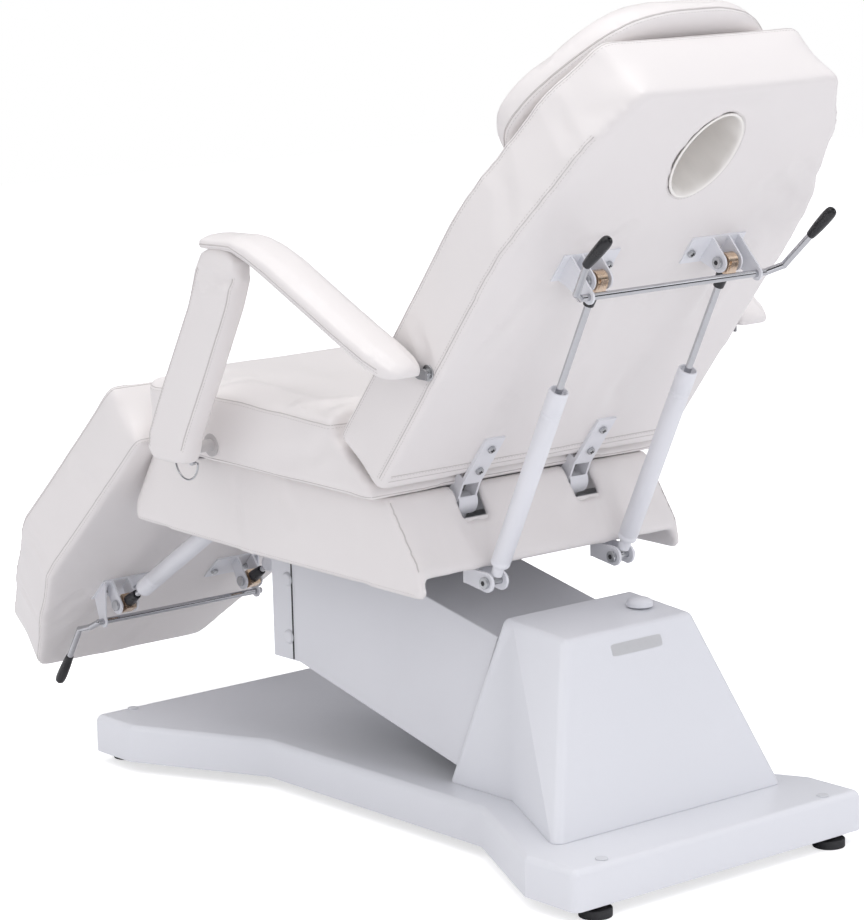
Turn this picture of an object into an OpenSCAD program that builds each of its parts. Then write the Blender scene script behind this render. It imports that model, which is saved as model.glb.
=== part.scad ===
/* [Bed] */
// Width of the seat, back and leg cushions
bed_w = 560; // [520:5:600]
// Thickness of the back cushion
back_t = 111; // [95:1:125]
// Length of the back cushion
back_len = 709; // [690:1:760]
// Lean of the back from upright, as it stands in the drawing
back_lean = 38.45; // [36:0.5:42]
// Thickness of the leg cushion
leg_t = 114; // [100:1:125]
// Length of the leg cushion
leg_len = 667; // [650:1:700]
// Drop of the leg rest below level, as it hangs
leg_drop = 42.74; // [40:0.5:44]
// Height of the seat's underside at its rear edge
seat_z = 511; // [511:1:530]
// Depth of the seat cushion from its front to its underside's rear edge
seat_len = 530; // [525:1:560]
// Swell of the cushions' upper faces
crown = 10; // [4:1:14]
// Pull of the cushions' sides between their two seams
side_pull = 4; // [1:0.5:6]

/* [Head end] */
// Breathing hole across
hole_w = 98; // [80:1:120]
// Breathing hole along the back
hole_len = 140; // [110:1:150]
// Height of the breathing hole's middle along the back
hole_at = 588; // [570:1:600]
// Pillow width
pillow_w = 466; // [380:2:480]
// Pillow length along the back
pillow_len = 261; // [220:1:270]
// Pillow thickness
pillow_t = 72; // [50:1:90]

/* [Base] */
// Width of the base cover at its two ends
base_w = 544; // [500:2:600]
// Width of the base cover at its waist
waist_w = 339; // [320:1:380]
// Height of the base cover's top
base_h = 75; // [75:1:90]
// Height of the base cover's rim above the floor
rim_z = 17; // [10:1:20]
// Wall of the moulded covers
wall = 4; // [2:0.5:6]
// Diameter of a foot pad
foot_d = 46; // [36:1:60]
// Thickness of a foot pad
foot_t = 12; // [8:1:16]
// Height of the rear housing's top edge
housing_h = 338; // [330:1:360]

/* [Lift] */
// Length of the lift arms between their pivots
arm_len = 477.1; // [470:0.5:490]
// Rise of the lift arms from level in the lowest position
arm_rise = 12.4; // [11:0.2:14]
// Spacing of the lower and the upper arm's pivots
arm_gap = 89; // [86:1:100]
// Diameter of the lift axles
axle_d = 16; // [12:1:20]
// Thickness of the steel side plates
plate = 6; // [5:0.5:6]
// Half width of the arm cover
cover_hw = 113; // [113:0.5:113.5]
// Radial running clearance of axles and rods
run = 0.05; // [0.02:0.01:0.09]

/* [Springs] */
// Diameter of a gas spring's tube
tube_d = 28; // [22:1:30]
// Diameter of a gas spring's rod
rod_d = 10; // [8:1:12]
// Diameter of the hinge pins
pin_d = 10; // [8:1:12]
// Distance of a back spring from the middle
spring_x = 119.6; // [118:0.2:123]
// Distance of a leg spring from the middle
leg_spring_x = 124; // [122:0.5:126]
// Diameter of the release bars and levers
lever_d = 10; // [8:1:12]
// Diameter of the lever grips
grip_d = 17; // [14:1:22]

/* [Armrests] */
// Width of an armrest's upper pad
arm_w = 75; // [60:1:90]
// Thickness of an armrest's front pad
front_t = 37; // [30:1:45]
// Gap between the bed's side and the upper pad
arm_clear = 9; // [8:0.5:14]

/* [Hidden] */
$fn = 48;
over = 1;
skin_clear = 0.3;

// Side view places, [y, z], in the drawing's own frame before it is centred
arm_root = [105, 116.5];
link_root = arm_root + [0, arm_gap];
arm_dir = [-cos(arm_rise), sin(arm_rise)];
arm_tip = arm_root + arm_dir * arm_len;
link_tip = arm_tip + [0, arm_gap];
jack_foot = [60, 52];
jack_seat = [327, 65];
arm_up = [sin(arm_rise), cos(arm_rise)];
jack_head = arm_root + arm_dir * jack_seat[0] + arm_up * jack_seat[1];
jack_len = norm(jack_head - jack_foot);
jack_lean = atan2(jack_head[1] - jack_foot[1], jack_foot[0] - jack_head[0]);
seat_rear_y = 65;
seat_front_y = seat_rear_y - seat_len;
seat_tilt = 1.3;
back_foot = [76.8, seat_z + 13];
recline_at = [48, seat_z - 25];
leg_at = [-489, seat_z - 11];
back_root = [137, seat_z - 125];
leg_root = [-425, seat_z - 85];
back_along = [sin(back_lean), cos(back_lean)];
back_out = [cos(back_lean), -sin(back_lean)];
leg_along = [-cos(leg_drop), -sin(leg_drop)];
leg_up = [-sin(leg_drop), cos(leg_drop)];
back_head_s = 412;
back_head_r = 32;
back_head = back_foot + back_along * back_head_s + back_out * back_head_r;
back_spring_len = norm(back_head - back_root);
back_spring_lean = atan2(back_head[0] - back_root[0], back_head[1] - back_root[1]);
leg_head_u = 405;
leg_head_n = -25.7;
leg_head = leg_at + leg_along * leg_head_u + leg_up * leg_head_n;
leg_spring_len = norm(leg_head - leg_root);
leg_spring_drop = atan2(leg_root[1] - leg_head[1], leg_root[0] - leg_head[0]);
front_foot = [-299.7, seat_z + 34.1];
elbow_at = [-160, seat_z + 325];
rest_tip = [196.6, seat_z + 193.1];
leg_end_u = 18.6;
leg_under_n = 12.8;
bed_hw = bed_w / 2;

// Middle of the whole chair, which comes to the origin
tip_y = leg_at[0] + leg_along[0] * (leg_len - leg_end_u) + leg_up[0] * (leg_t + leg_under_n);
top_y = back_foot[0] + back_along[0] * back_len;
mid_y = (tip_y + top_y) / 2;

// Frames
module centred() { translate([0, -mid_y, 0]) children(); }
module at(p) { translate([0, p[0], p[1]]) children(); }
module on_back() { at(back_foot) rotate([-back_lean, 0, 0]) children(); }
module on_leg() { at(leg_at) rotate([leg_drop, 0, 0]) children(); }
module on_arm() { at(arm_root) rotate([-arm_rise, 0, 0]) children(); }
module on_link() { at(link_root) rotate([-arm_rise, 0, 0]) children(); }
module on_jack() { at(jack_foot) rotate([-jack_lean, 0, 0]) children(); }
module on_back_spring() { at(back_root) rotate([-back_spring_lean, 0, 0]) children(); }
module on_leg_spring() { at(leg_root) rotate([leg_spring_drop, 0, 0]) children(); }
module both() {
    children();
    mirror([1, 0, 0]) children();
}
module side(w, x = 0) {
    translate([x, 0, 0]) rotate([90, 0, 90]) linear_extrude(w, center = true) children();
}
module across(r, w, x = 0, p = [0, 0]) {
    translate([x, p[0], p[1]]) rotate([0, 90, 0]) cylinder(r = r, h = w, center = true);
}
module box(x0, x1, y0, y1, z0, z1) {
    translate([x0, y0, z0]) cube([x1 - x0, y1 - y0, z1 - z0]);
}

// Soft shapes: rings of points, stacked and closed at both ends
function lerp(a, b, t) = a + (b - a) * t;
function unit(v) = v / norm(v);
function turn(v) = [-v[1], v[0]];
function flat2(v) = [v[0], v[1]];
function middle(r) = [for (k = [0:2]) let (c = [for (p = r) p[k]]) (max(c) + min(c)) / 2];
function bend(a, p, b, t) = a * (1 - t) * (1 - t) + p * 2 * t * (1 - t) + b * t * t;
function soft_outline(c, bow, side_n, arc_n) = [
    for (j = [0:len(c) - 1])
        let (p = flat2(c[j]), a = flat2(c[(j + len(c) - 1) % len(c)]))
        let (b = flat2(c[(j + 1) % len(c)]), cut = c[j][2], cut_b = c[(j + 1) % len(c)][2])
        let (first = p + unit(a - p) * cut, last = p + unit(b - p) * cut)
        let (next = b + unit(p - b) * cut_b, inward = turn(unit(b - p)))
        each concat(
            [for (i = [0:arc_n]) bend(first, p, last, i / arc_n)],
            [for (i = [1:1:side_n - 1]) let (t = i / side_n)
                lerp(last, next, t) + inward * bow * 4 * t * (1 - t)])];
function inset(o, d) = [
    for (i = [0:len(o) - 1])
        o[i] + turn(unit(o[(i + 1) % len(o)] - o[(i + len(o) - 1) % len(o)])) * d];
module skin(rings) {
    n = len(rings[0]);
    m = len(rings);
    points = concat([for (r = rings) each r], [middle(rings[0]), middle(rings[m - 1])]);
    walls = [for (j = [0:m - 2]) for (i = [0:n - 1])
        let (k = (i + 1) % n, a = j * n, b = a + n)
        each [[a + i, b + i, b + k], [a + i, b + k, a + k]]];
    caps = [for (i = [0:n - 1]) let (k = (i + 1) % n, t = (m - 1) * n)
        each [[n * m, i, k], [n * m + 1, t + k, t + i]]];
    polyhedron(points, concat(walls, caps), convexity = 6);
}
// Shares of the seam's tuck, of the side's pull and of the thickness, up a cushion's side
cushion_side_shares = [
    [1, 0, 0], [0.25, 0, 0.025], [0, 0.1, 0.07], [0, 0.8, 0.3], [0, 1, 0.5],
    [0, 0.8, 0.7], [0, 0.45, 0.84], [0, 0.1, 0.93], [0.25, 0, 0.975], [1, 0, 1]];
// Shares of the way to the middle and of the crown, over a cushion's face
cushion_crown_shares = [[0.05, 0.35], [0.13, 0.7], [0.28, 1]];
seam_tuck = 7;
// Length of a rounded heel, r, that is cut off at height h of a cushion t thick
function heel_cut(h, t, r) = h <= t - r ? 0 : h >= t ? r : r - sqrt(r * r - pow(h - t + r, 2));
function face_rings(o, t, swell, heel) =
    let (low = min([for (p = o) p[1]]), high = max([for (p = o) p[1]]), c = [0, (low + high) / 2])
    concat(
        [for (s = cushion_side_shares)
            [for (p = inset(o, seam_tuck * s[0] + side_pull * s[1]))
                [p[0], max(p[1], low + heel_cut(t * s[2], t, heel)), t * s[2]]]],
        [for (s = cushion_crown_shares) [for (p = inset(o, seam_tuck))
            let (q = lerp([p[0], max(p[1], low + heel)], c, s[0])) [q[0], q[1], t + swell * s[1]]]]);
function stood(rings) = [for (r = rings) [for (p = r) [p[0], -p[2], p[1]]]];

// Base

base_front_y = -651;
base_rear_y = 465;
base_wide_share = 0.085;
base_waist_front_share = 0.28;
base_waist_rear_share = 0.725;
base_wide_rear_share = 0.912;
base_len = base_rear_y - base_front_y;
base_hw = base_w / 2;
waist_hw = waist_w / 2;
corner_cut = 15;
edge_r = 12;
base_fn = 20;
// Middles of the rounded edge along the base cover's side, front to rear
base_posts = [
    [base_hw - edge_r, base_front_y + edge_r],
    [base_hw - edge_r, base_front_y + base_len * base_wide_share],
    [waist_hw - edge_r, base_front_y + base_len * base_waist_front_share],
    [waist_hw - edge_r, base_front_y + base_len * base_waist_rear_share],
    [base_hw - edge_r, base_front_y + base_len * base_wide_rear_share],
    [base_hw - edge_r, base_rear_y - edge_r]];
well_hw = 72;
well_front_y = -6;
well_rear_y = 280;
module base_shape(d, low) {
    for (k = [[0, 1, 2], [2, 3], [3, 4, 5]]) hull() for (i = k) both()
        translate([base_posts[i][0], base_posts[i][1], 0]) {
            translate([0, 0, base_h - edge_r]) sphere(edge_r - d, $fn = base_fn);
            translate([0, 0, low]) cylinder(r = edge_r - d, h = wall, $fn = base_fn);
        }
}
module base_cover() {
    color("whitesmoke") difference() {
        base_shape(0, rim_z);
        base_shape(wall, rim_z - over);
        box(-well_hw, well_hw, well_front_y, well_rear_y, rim_z, base_h + over);
        both() box(
            tower_x - tower_t, tower_x + tower_t + over, tower_front_y - over,
            tower_rear_y + over, rim_z, base_h + over);
    }
}

foot_x = 221;
foot_front_y = base_front_y + 17;
foot_rear_y = base_rear_y - 17.5;
foot_y = [foot_front_y, foot_rear_y];
beam_z = 30;
beam_h = 30;
beam_w = 50;
rail_w = 40;
rail_x = 90;
stud_d = 10;
ear_x = 18.5;
ear_t = 6;
jack_ear_r = 13;
jack_pin_d = 12;
module base_frame() {
    color("dimgray") {
        for (y = foot_y) box(-foot_x - rail_w / 2, foot_x + rail_w / 2,
            y - beam_w / 4, y + beam_w / 4, beam_z, beam_z + beam_h);
        both() box(
            rail_x - rail_w / 2, rail_x + rail_w / 2, foot_front_y + beam_w / 4,
            foot_rear_y - beam_w / 4, beam_z, beam_z + beam_h);
        box(-rail_x + rail_w / 2, rail_x - rail_w / 2, jack_foot[0] - beam_w / 2,
            jack_foot[0] + beam_w / 2, beam_z - ear_t, beam_z + ear_t - over);
        both() difference() {
            union() {
                across(jack_ear_r, ear_t, ear_x, jack_foot);
                box(ear_x - ear_t / 2, ear_x + ear_t / 2, jack_foot[0] - jack_ear_r,
                    jack_foot[0] + jack_ear_r, beam_z, jack_foot[1]);
            }
            across(jack_pin_d / 2 + run, ear_t + over, ear_x, jack_foot);
        }
    }
}
module foot_pads() {
    color("dimgray") both() for (y = foot_y) translate([foot_x, y, 0]) {
        cylinder(d = foot_d, h = foot_t);
        cylinder(d = stud_d, h = beam_z);
    }
}
cap_d = 18;
cap_t = 2;
module foot_caps() {
    color("gainsboro") both() for (y = foot_y)
        translate([foot_x - edge_r, y, base_h]) cylinder(d1 = cap_d, d2 = cap_d - cap_t, h = cap_t);
}

// Rear housing: a moulded hood, open at its front and underside
housing_front_y = 25;
housing_lip_y = 150;
housing_rear_y = 287;
hood_foot_y = 365;
hood_bend_y = 168;
hood_hw = 118;
hood_foot_hw = 212;
hood_top_hw = 124;
hood_fall = 12;
hood_r = 13;
hood_fn = 20;
function hood_z(y) = housing_h - hood_fall * (y - housing_lip_y) / (housing_rear_y - housing_lip_y);
module hood_corner(x, y, foot_x, foot_y, r, drop) {
    both() {
        translate([x - hood_r, y, hood_z(y) - drop - r]) sphere(r, $fn = hood_fn);
        translate([foot_x - hood_r, foot_y, base_h + skin_clear / 3 - drop])
            cylinder(r = r, h = wall, $fn = hood_fn);
    }
}
module hood_shape(d, front) {
    r = hood_r - d;
    hull() {
        hood_corner(
            hood_top_hw, housing_lip_y + hood_r - front, hood_hw, housing_front_y + hood_r - front, r, d);
        hood_corner(hood_top_hw, hood_bend_y + hood_r, hood_hw, hood_bend_y, r, d);
    }
    hull() {
        hood_corner(hood_top_hw, hood_bend_y + hood_r, hood_hw, hood_bend_y, r, d);
        hood_corner(hood_top_hw, housing_rear_y - hood_r, hood_foot_hw, hood_foot_y - hood_r, r, d);
    }
}
module rear_housing() {
    color("whitesmoke") difference() {
        hood_shape(0, 0);
        hood_shape(wall, beam_w);
    }
}
hump_x = -74;
hump_y = 224;
hump_d = 38;
hump_h = 24;
module housing_cap() {
    color("silver") translate([hump_x, hump_y, hood_z(hump_y - hump_d / 2) + skin_clear])
        difference() {
            cylinder(d = hump_d, h = hump_h);
            translate([0, 0, hump_h]) rotate_extrude() difference() {
                translate([hump_d / 2 - hump_h / 3, -hump_h / 3]) square(hump_h);
                translate([hump_d / 2 - hump_h / 3, -hump_h / 3]) circle(hump_h / 3);
            }
        }
}

tower_x = 96;
tower_t = 7;
tower_front_y = 40;
tower_rear_y = 250;
tower_boss_r = 25;
tie_t = 12;
module tower() {
    color("darkgray") {
        both() difference() {
            side(tower_t, tower_x) union() {
                hull() {
                    translate(link_root) circle(tower_boss_r);
                    polygon([
                        [tower_front_y, beam_z + beam_h], [tower_rear_y, beam_z + beam_h],
                        [tower_rear_y, base_h + beam_h], [tower_front_y, base_h + beam_h]]);
                }
            }
            across(axle_d / 2 + run, tower_t * 3, tower_x, arm_root);
            across(axle_d / 2 + run, tower_t * 3, tower_x, link_root);
        }
        box(-tower_x + tower_t / 2, tower_x - tower_t / 2, tower_rear_y - tie_t, tower_rear_y,
            base_h + tie_t, base_h + beam_h);
    }
}
lower_x = 74;
bar_t = 8;
upper_x = 88;
axle_len = 2 * (cover_hw - wall) - 4;
spacer_r = 14;
module spacer(x0, x1, p, r = axle_d / 2) {
    both() difference() {
        across(spacer_r, x1 - x0 - skin_clear, (x0 + x1) / 2, p);
        across(r + run, x1 - x0 + over, (x0 + x1) / 2, p);
    }
}
module lift_axles() {
    color("silver") {
        for (p = [arm_root, link_root]) across(axle_d / 2, axle_len, 0, p);
        spacer(lower_x + bar_t / 2, tower_x - tower_t / 2, arm_root);
        across(jack_pin_d / 2, 2 * (ear_x + ear_t), 0, jack_foot);
    }
}

// Lift arms

lower_r = 22;
upper_r = 20;
tie_a = 365;
tie_w = 30;
front_tie_a = 425;
tab_a = [180, 425];
tab_r = 14;
module lower_arm() {
    color("gray") on_arm() {
        both() difference() {
            side(bar_t, lower_x) union() {
                circle(lower_r);
                translate([-arm_len, 0]) circle(lower_r);
                translate([-arm_len, -lower_r]) square([arm_len, 2 * lower_r]);
            }
            across(axle_d / 2 + run, bar_t * 2, lower_x);
            across(axle_d / 2 + run, bar_t * 2, lower_x, [-arm_len, 0]);
        }
        inner = lower_x - bar_t / 2;
        box(-inner, inner, -tie_a - tie_w / 2, -tie_a + tie_w / 2, -tie_w / 2, tie_w / 2);
        across(tab_r, 2 * inner, 0, [-front_tie_a, 0]);
        for (a = tab_a) both() across(
            tab_r, cover_hw - wall - lower_x - bar_t / 2,
            (cover_hw - wall + lower_x + bar_t / 2) / 2, [-a, 0]);
        both() difference() {
            side(ear_t, ear_x) union() {
                translate([-jack_seat[0], jack_seat[1]]) circle(jack_ear_r);
                polygon([
                    [-jack_seat[0] + jack_ear_r, jack_seat[1]], [-jack_seat[0] - jack_ear_r, jack_seat[1]],
                    [-tie_a - tie_w / 2, tie_w / 2], [-tie_a + tie_w / 2, tie_w / 2]]);
            }
            across(jack_pin_d / 2 + run, ear_t * 2, ear_x, [-jack_seat[0], jack_seat[1]]);
        }
        across(jack_pin_d / 2, 2 * (ear_x + ear_t), 0, [-jack_seat[0], jack_seat[1]]);
    }
}
cover_front_y = -333;
cover_top_front = 404;
cover_low_front = 189;
cover_top_rear = [135, 305];
cover_low_rear = [45, 98];
cover_points = [
    [cover_front_y, cover_top_front], [cover_front_y, cover_low_front],
    cover_low_rear, cover_top_rear];
module arm_cover() {
    color("gainsboro") difference() {
        side(2 * cover_hw) polygon(cover_points);
        side(2 * (cover_hw - wall)) polygon([
            [cover_front_y - over, cover_top_front - wall], [cover_front_y - over, 0],
            [cover_top_rear[0] + beam_w, 0], cover_top_rear + [beam_w, -wall - beam_w / 5]]);
    }
}
link_tie_a = 115;
link_tie_t = 8;
module upper_arm() {
    color("gray") on_link() {
        both() difference() {
            side(bar_t, upper_x) union() {
                circle(upper_r);
                translate([-arm_len, 0]) circle(upper_r);
                translate([-arm_len, -upper_r]) square([arm_len, 2 * upper_r]);
            }
            across(axle_d / 2 + run, bar_t * 2, upper_x);
            across(axle_d / 2 + run, bar_t * 2, upper_x, [-arm_len, 0]);
        }
        inner = upper_x - bar_t / 2;
        box(-inner, inner, -link_tie_a - tie_w / 2, -link_tie_a + tie_w / 2, -link_tie_t, link_tie_t);
    }
}
jack_tube_r = 20;
jack_rod_r = 11;
jack_tube_to = 235;
jack_bore_from = 80;
motor_r = 20;
motor_x = 45;
gear_from = 20;
gear_to = 70;
motor_to = 165;
eye_w = 28;
module along(r, a, b, x = 0) {
    translate([x, -a, 0]) rotate([90, 0, 0]) cylinder(r = r, h = b - a);
}
module actuator_body() {
    color("dimgray") on_jack() difference() {
        union() {
            across(jack_ear_r, eye_w);
            box(-eye_w / 2, eye_w / 2, -gear_from, 0, -jack_ear_r / 2, jack_ear_r / 2);
            box(-jack_tube_r, motor_x + motor_r, -gear_to, -gear_from, -jack_tube_r, jack_tube_r);
            along(jack_tube_r, gear_to - over, jack_tube_to);
            along(motor_r, gear_to - over, motor_to, motor_x);
        }
        across(jack_pin_d / 2 + run, eye_w + over);
        along(jack_rod_r + run, jack_bore_from, jack_tube_to + over);
    }
}
eye_slack = 2.6;
module actuator_rod() {
    color("silver") on_jack() difference() {
        union() {
            along(jack_rod_r, jack_bore_from + ear_t, jack_len - jack_ear_r / 2);
            across(jack_ear_r, eye_w, 0, [-jack_len, 0]);
        }
        across(jack_pin_d / 2 + eye_slack, eye_w + over, 0, [-jack_len, 0]);
    }
}

// Seat: head post, frame, skirt and cushion

post_x = 101;
post_front_y = -400;
post_rear_y = -335;
post_low_z = 184;
post_top_z = seat_z - 86;
module head_post() {
    color("whitesmoke") difference() {
        union() {
            both() box(
                post_x - plate / 2, post_x + plate / 2, post_front_y, post_rear_y, post_low_z, post_top_z);
            box(-post_x, post_x, post_front_y, post_front_y + plate, post_low_z, post_top_z);
            box(-post_x, post_x, post_front_y, post_rear_y, post_top_z - plate, post_top_z);
        }
        for (p = [arm_tip, link_tip]) across(axle_d / 2 + run, 3 * post_x, 0, p);
    }
}
dome_d = 24;
dome_t = 4;
module head_pins() {
    color("silver") {
        for (p = [arm_tip, link_tip]) across(axle_d / 2, 2 * (post_x + plate / 2), 0, p);
        spacer(lower_x + bar_t / 2, post_x - plate / 2, arm_tip);
        spacer(upper_x + bar_t / 2, post_x - plate / 2, link_tip);
    }
    color("whitesmoke") for (p = [arm_tip, link_tip]) both()
        translate([post_x + plate / 2, p[0], p[1]]) rotate([0, 90, 0])
            cylinder(d1 = dome_d, d2 = dome_d * 0.7, h = dome_t);
}
frame_h = 30;
frame_z = post_top_z;
seat_rail_x = 75;
seat_rail_w = 30;
skirt_hw = 245.5;
skirt_t = 12;
cross_front_y = -478;
cross_rear_y = 16;
cross_w = 30;
lug_x = 104.5;
lug_hw = 13.5;
lug_r = 12;
hinge_plate = 3.5;
leg_lug_x = 104.5;
leg_stem_h = 13.5;
clear_side = 1.5;
module seat_frame() {
    color("gray") {
        both() box(seat_rail_x - seat_rail_w / 2, seat_rail_x + seat_rail_w / 2,
            cross_front_y - cross_w / 2, cross_rear_y + cross_w / 2, frame_z, frame_z + frame_h);
        difference() {
            for (y = [cross_front_y, cross_rear_y]) box(
                -skirt_hw + skirt_t + skin_clear, skirt_hw - skirt_t - skin_clear,
                y - cross_w / 2, y + cross_w / 2, frame_z, frame_z + frame_h);
            both() beam_notch();
        }
        both() difference() {
            union() {
                across(lug_r, 2 * lug_hw, lug_x, recline_at);
                side(2 * lug_hw, lug_x) polygon([
                    recline_at + [lug_r, 0], recline_at + [-lug_r, 0],
                    [cross_rear_y - cross_w / 2, frame_z + frame_h / 2],
                    [cross_rear_y + cross_w / 2, frame_z + frame_h / 2]]);
                across(lug_r, 2 * lug_hw, leg_lug_x, leg_at);
                side(2 * lug_hw, leg_lug_x) polygon([
                    leg_at + [lug_r, 0], leg_at + [2 * lug_r, -leg_stem_h],
                    [cross_front_y + cross_w / 2, frame_z + frame_h / 2],
                    [cross_front_y, frame_z + frame_h / 2],
                    leg_at + [leg_stem_h, -lug_r - hinge_plate + over / 2],
                    leg_at + [-lug_r / 2, -lug_r + over]]);
            }
            across(pin_d / 2 + run, 3 * lug_hw, lug_x, recline_at);
            across(pin_d / 2 + run, 3 * lug_hw, leg_lug_x, leg_at);
            beam_notch();
        }
    }
}
// Room under the front beam for a leg spring when the leg rest is up
notch_deep = 24.5;
module beam_notch() {
    box(leg_spring_x - tube_d / 2 - clear_side, leg_spring_x + tube_d / 2 + clear_side,
        cross_front_y - cross_w, cross_front_y + cross_w, frame_z - over, frame_z + notch_deep);
}
function seat_low(y) = seat_z + (seat_rear_y - y) * tan(seat_tilt);
board_t = 12;
board_front_y = seat_front_y + 12;
board_rear_y = 33;
board_hw = 225;
stand_w = 30;
module seat_board() {
    color("burlywood") {
        side(2 * board_hw) polygon([
            [board_front_y, seat_low(board_front_y) - skin_clear],
            [board_front_y, seat_low(board_front_y) - skin_clear - board_t],
            [board_rear_y, seat_low(board_rear_y) - skin_clear - board_t],
            [board_rear_y, seat_low(board_rear_y) - skin_clear]]);
        both() side(stand_w, seat_rail_x) polygon([
            [cross_front_y + stand_w, seat_low(cross_front_y + stand_w) - skin_clear - board_t],
            [cross_front_y + stand_w, frame_z + frame_h],
            [cross_rear_y, frame_z + frame_h],
            [cross_rear_y, seat_low(cross_rear_y) - skin_clear - board_t]]);
    }
}
// Side view of the skirt, rearward and down: its top front, front, bottom and rear
skirt_len = 689;
skirt_fall = 135;
skirt_front_y = seat_rear_y - 620;
skirt_shares = [
    [0.0929, 0.163], [0.0029, 0.6667], [0, 0.8741], [0.4267, 0.9481], [0.9797, 1],
    [0.998, 0.9704], [0.9885, 0.7111], [0.8955, 0.0185]];
skirt_points = [for (p = skirt_shares) [skirt_front_y + skirt_len * p[0], seat_z - skirt_fall * p[1]]];
skirt_rear_z = seat_z - 107;
notch_hw = 22;
notch_z = seat_z - 48;
front_notch_y = -460;
front_notch_z = seat_z - 27;
slot_hw = 21;
slot_z = seat_z - 46;
module skirt() {
    q = skirt_points;
    t = skirt_t;
    color("ghostwhite") difference() {
        side(2 * skirt_hw) polygon(q);
        side(2 * (skirt_hw - t)) polygon([
            q[0] + [t * 1.6, beam_w], q[0] + [t * 1.6, 0], q[1] + [t * 1.3, 0], q[2] + [t * 1.2, -beam_w],
            q[5] + [-t, -beam_w], q[6] + [-t * 1.2, 0], q[7] + [-t * 1.4, 0], q[7] + [-t * 1.4, beam_w]]);
        box(-skirt_hw + t, skirt_hw - t, seat_rear_y, seat_rear_y + beam_w * 2, 0, skirt_rear_z);
        both() box(
            lug_x - notch_hw, lug_x + notch_hw, 0, seat_rear_y + beam_w * 2, notch_z, seat_z + beam_w);
        both() box(
            leg_lug_x - notch_hw, leg_lug_x + notch_hw, skirt_front_y, front_notch_y,
            front_notch_z, seat_z + beam_w);
        both() box(leg_spring_x - slot_hw, leg_spring_x + slot_hw, q[2][0] - over, leg_root[0] - beam_w / 2,
            0, slot_z);
    }
}
seat_top_z = seat_z + 100;
seat_front_top_z = seat_z + 116;
seat_cut_shares = [
    [0, 1], [0.2, 0.96], [0.33, 0.65], [0.45, 0.34], [0.55, 0.02], [0.66, -0.02], [0.76, -0.02], [1, 0.02]];
seat_give = 96;
seat_bow = 2;
// Rear of the seat cushion at a share of its height: cut back so that the back can rise
function seat_rear(s) = seat_rear_y - seat_give * (1 - lookup(s, seat_cut_shares));
function seat_ring(share, tuck, lift, toward) =
    let (c = [
        [bed_hw, seat_front_y, corner_cut], [bed_hw, seat_rear(share), corner_cut / 3],
        [-bed_hw, seat_rear(share), corner_cut / 3], [-bed_hw, seat_front_y, corner_cut]])
    let (o = inset(soft_outline(c, seat_bow, 7, 3), tuck))
    [for (p = o)
        let (q = lerp(p, [0, (seat_front_y + seat_rear(share)) / 2], toward))
        let (along_share = (seat_rear_y - q[1]) / seat_len)
        let (low = seat_low(q[1]), high = lerp(seat_top_z, seat_front_top_z, min(1, along_share * 1.7)))
        [q[0], q[1], lerp(low, high, share) + lift]];
seat_rings = concat(
    [for (s = concat(cushion_side_shares))
        seat_ring(s[2], seam_tuck * s[0] + side_pull * s[1], 0, 0)],
    [for (s = cushion_crown_shares) seat_ring(1, seam_tuck, crown * s[1], s[0])]);
ear_notch_y = 34;
ear_notch_hw = 21;
ear_notch_z = seat_z + 32;
module seat_cushion() {
    color("ghostwhite") difference() {
        skin(seat_rings);
        both() box(lug_x - ear_notch_hw, lug_x + ear_notch_hw, ear_notch_y, seat_rear_y + over,
            seat_z - beam_w, ear_notch_z);
    }
}
hinge_ear_x = lug_hw + skin_clear + hinge_plate / 2;
pin_len = 2 * (hinge_ear_x + hinge_plate);
module hinge_pins() {
    color("silver") both() {
        across(pin_d / 2, pin_len, lug_x, recline_at);
        across(pin_d / 2, pin_len, leg_lug_x, leg_at);
    }
}
// Clevises that carry the lower ends of the gas springs
clevis_hw = 11;
clevis_t = 4;
clevis_r = 14;
module clevis_plates(x, p, reach) {
    for (k = [-1, 1]) difference() {
        union() {
            across(clevis_r, clevis_t, x + k * (clevis_hw + clevis_t / 2), p);
            side(clevis_t, x + k * (clevis_hw + clevis_t / 2)) polygon(reach);
        }
        across(pin_d / 2 + run, clevis_t * 2, x + k * (clevis_hw + clevis_t / 2), p);
    }
}
clevis_beam_y = 92;
clevis_beam_z = seat_z - 78;
clevis_knee_y = 112;
clevis_top_z = leg_root[1] + clevis_r + over;
module spring_clevises() {
    color("whitesmoke") both() {
        clevis_plates(spring_x, back_root, [
            back_root + [0, clevis_r], back_root + [0, -clevis_r],
            [clevis_beam_y, back_root[1] - clevis_r / 2], [clevis_beam_y, clevis_beam_z],
            [clevis_knee_y, back_root[1] + clevis_r + over]]);
        box(spring_x - clevis_hw - clevis_t, spring_x + clevis_hw + clevis_t,
            clevis_beam_y - clevis_t, clevis_beam_y, back_root[1] - clevis_r / 2, clevis_beam_z);
        box(spring_x - clevis_hw - clevis_t, spring_x + clevis_hw + clevis_t,
            cross_rear_y + cross_w / 2, clevis_beam_y - clevis_t, frame_z, clevis_beam_z);
        clevis_plates(leg_spring_x, leg_root, [
            leg_root + [-clevis_r, 0], leg_root + [clevis_r, 0],
            [leg_root[0] + clevis_r, clevis_top_z], [leg_root[0] - clevis_r, clevis_top_z]]);
        box(seat_rail_x + seat_rail_w / 2, leg_spring_x + clevis_hw + clevis_t,
            leg_root[0] - clevis_r, leg_root[0] + clevis_r, clevis_top_z, clevis_top_z + clevis_t);
    }
}
bolt_d = 17;
bolt_t = 6;
module cross_bolt(x, p) {
    across(pin_d / 2, 2 * (clevis_hw + clevis_t) + bolt_t, x, p);
    for (k = [-1, 1]) across(bolt_d / 2, bolt_t, x + k * (clevis_hw + clevis_t + bolt_t / 2), p);
}
module clevis_bolts() {
    color("silver") both() {
        cross_bolt(spring_x, back_root);
        cross_bolt(leg_spring_x, leg_root);
    }
}
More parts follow.
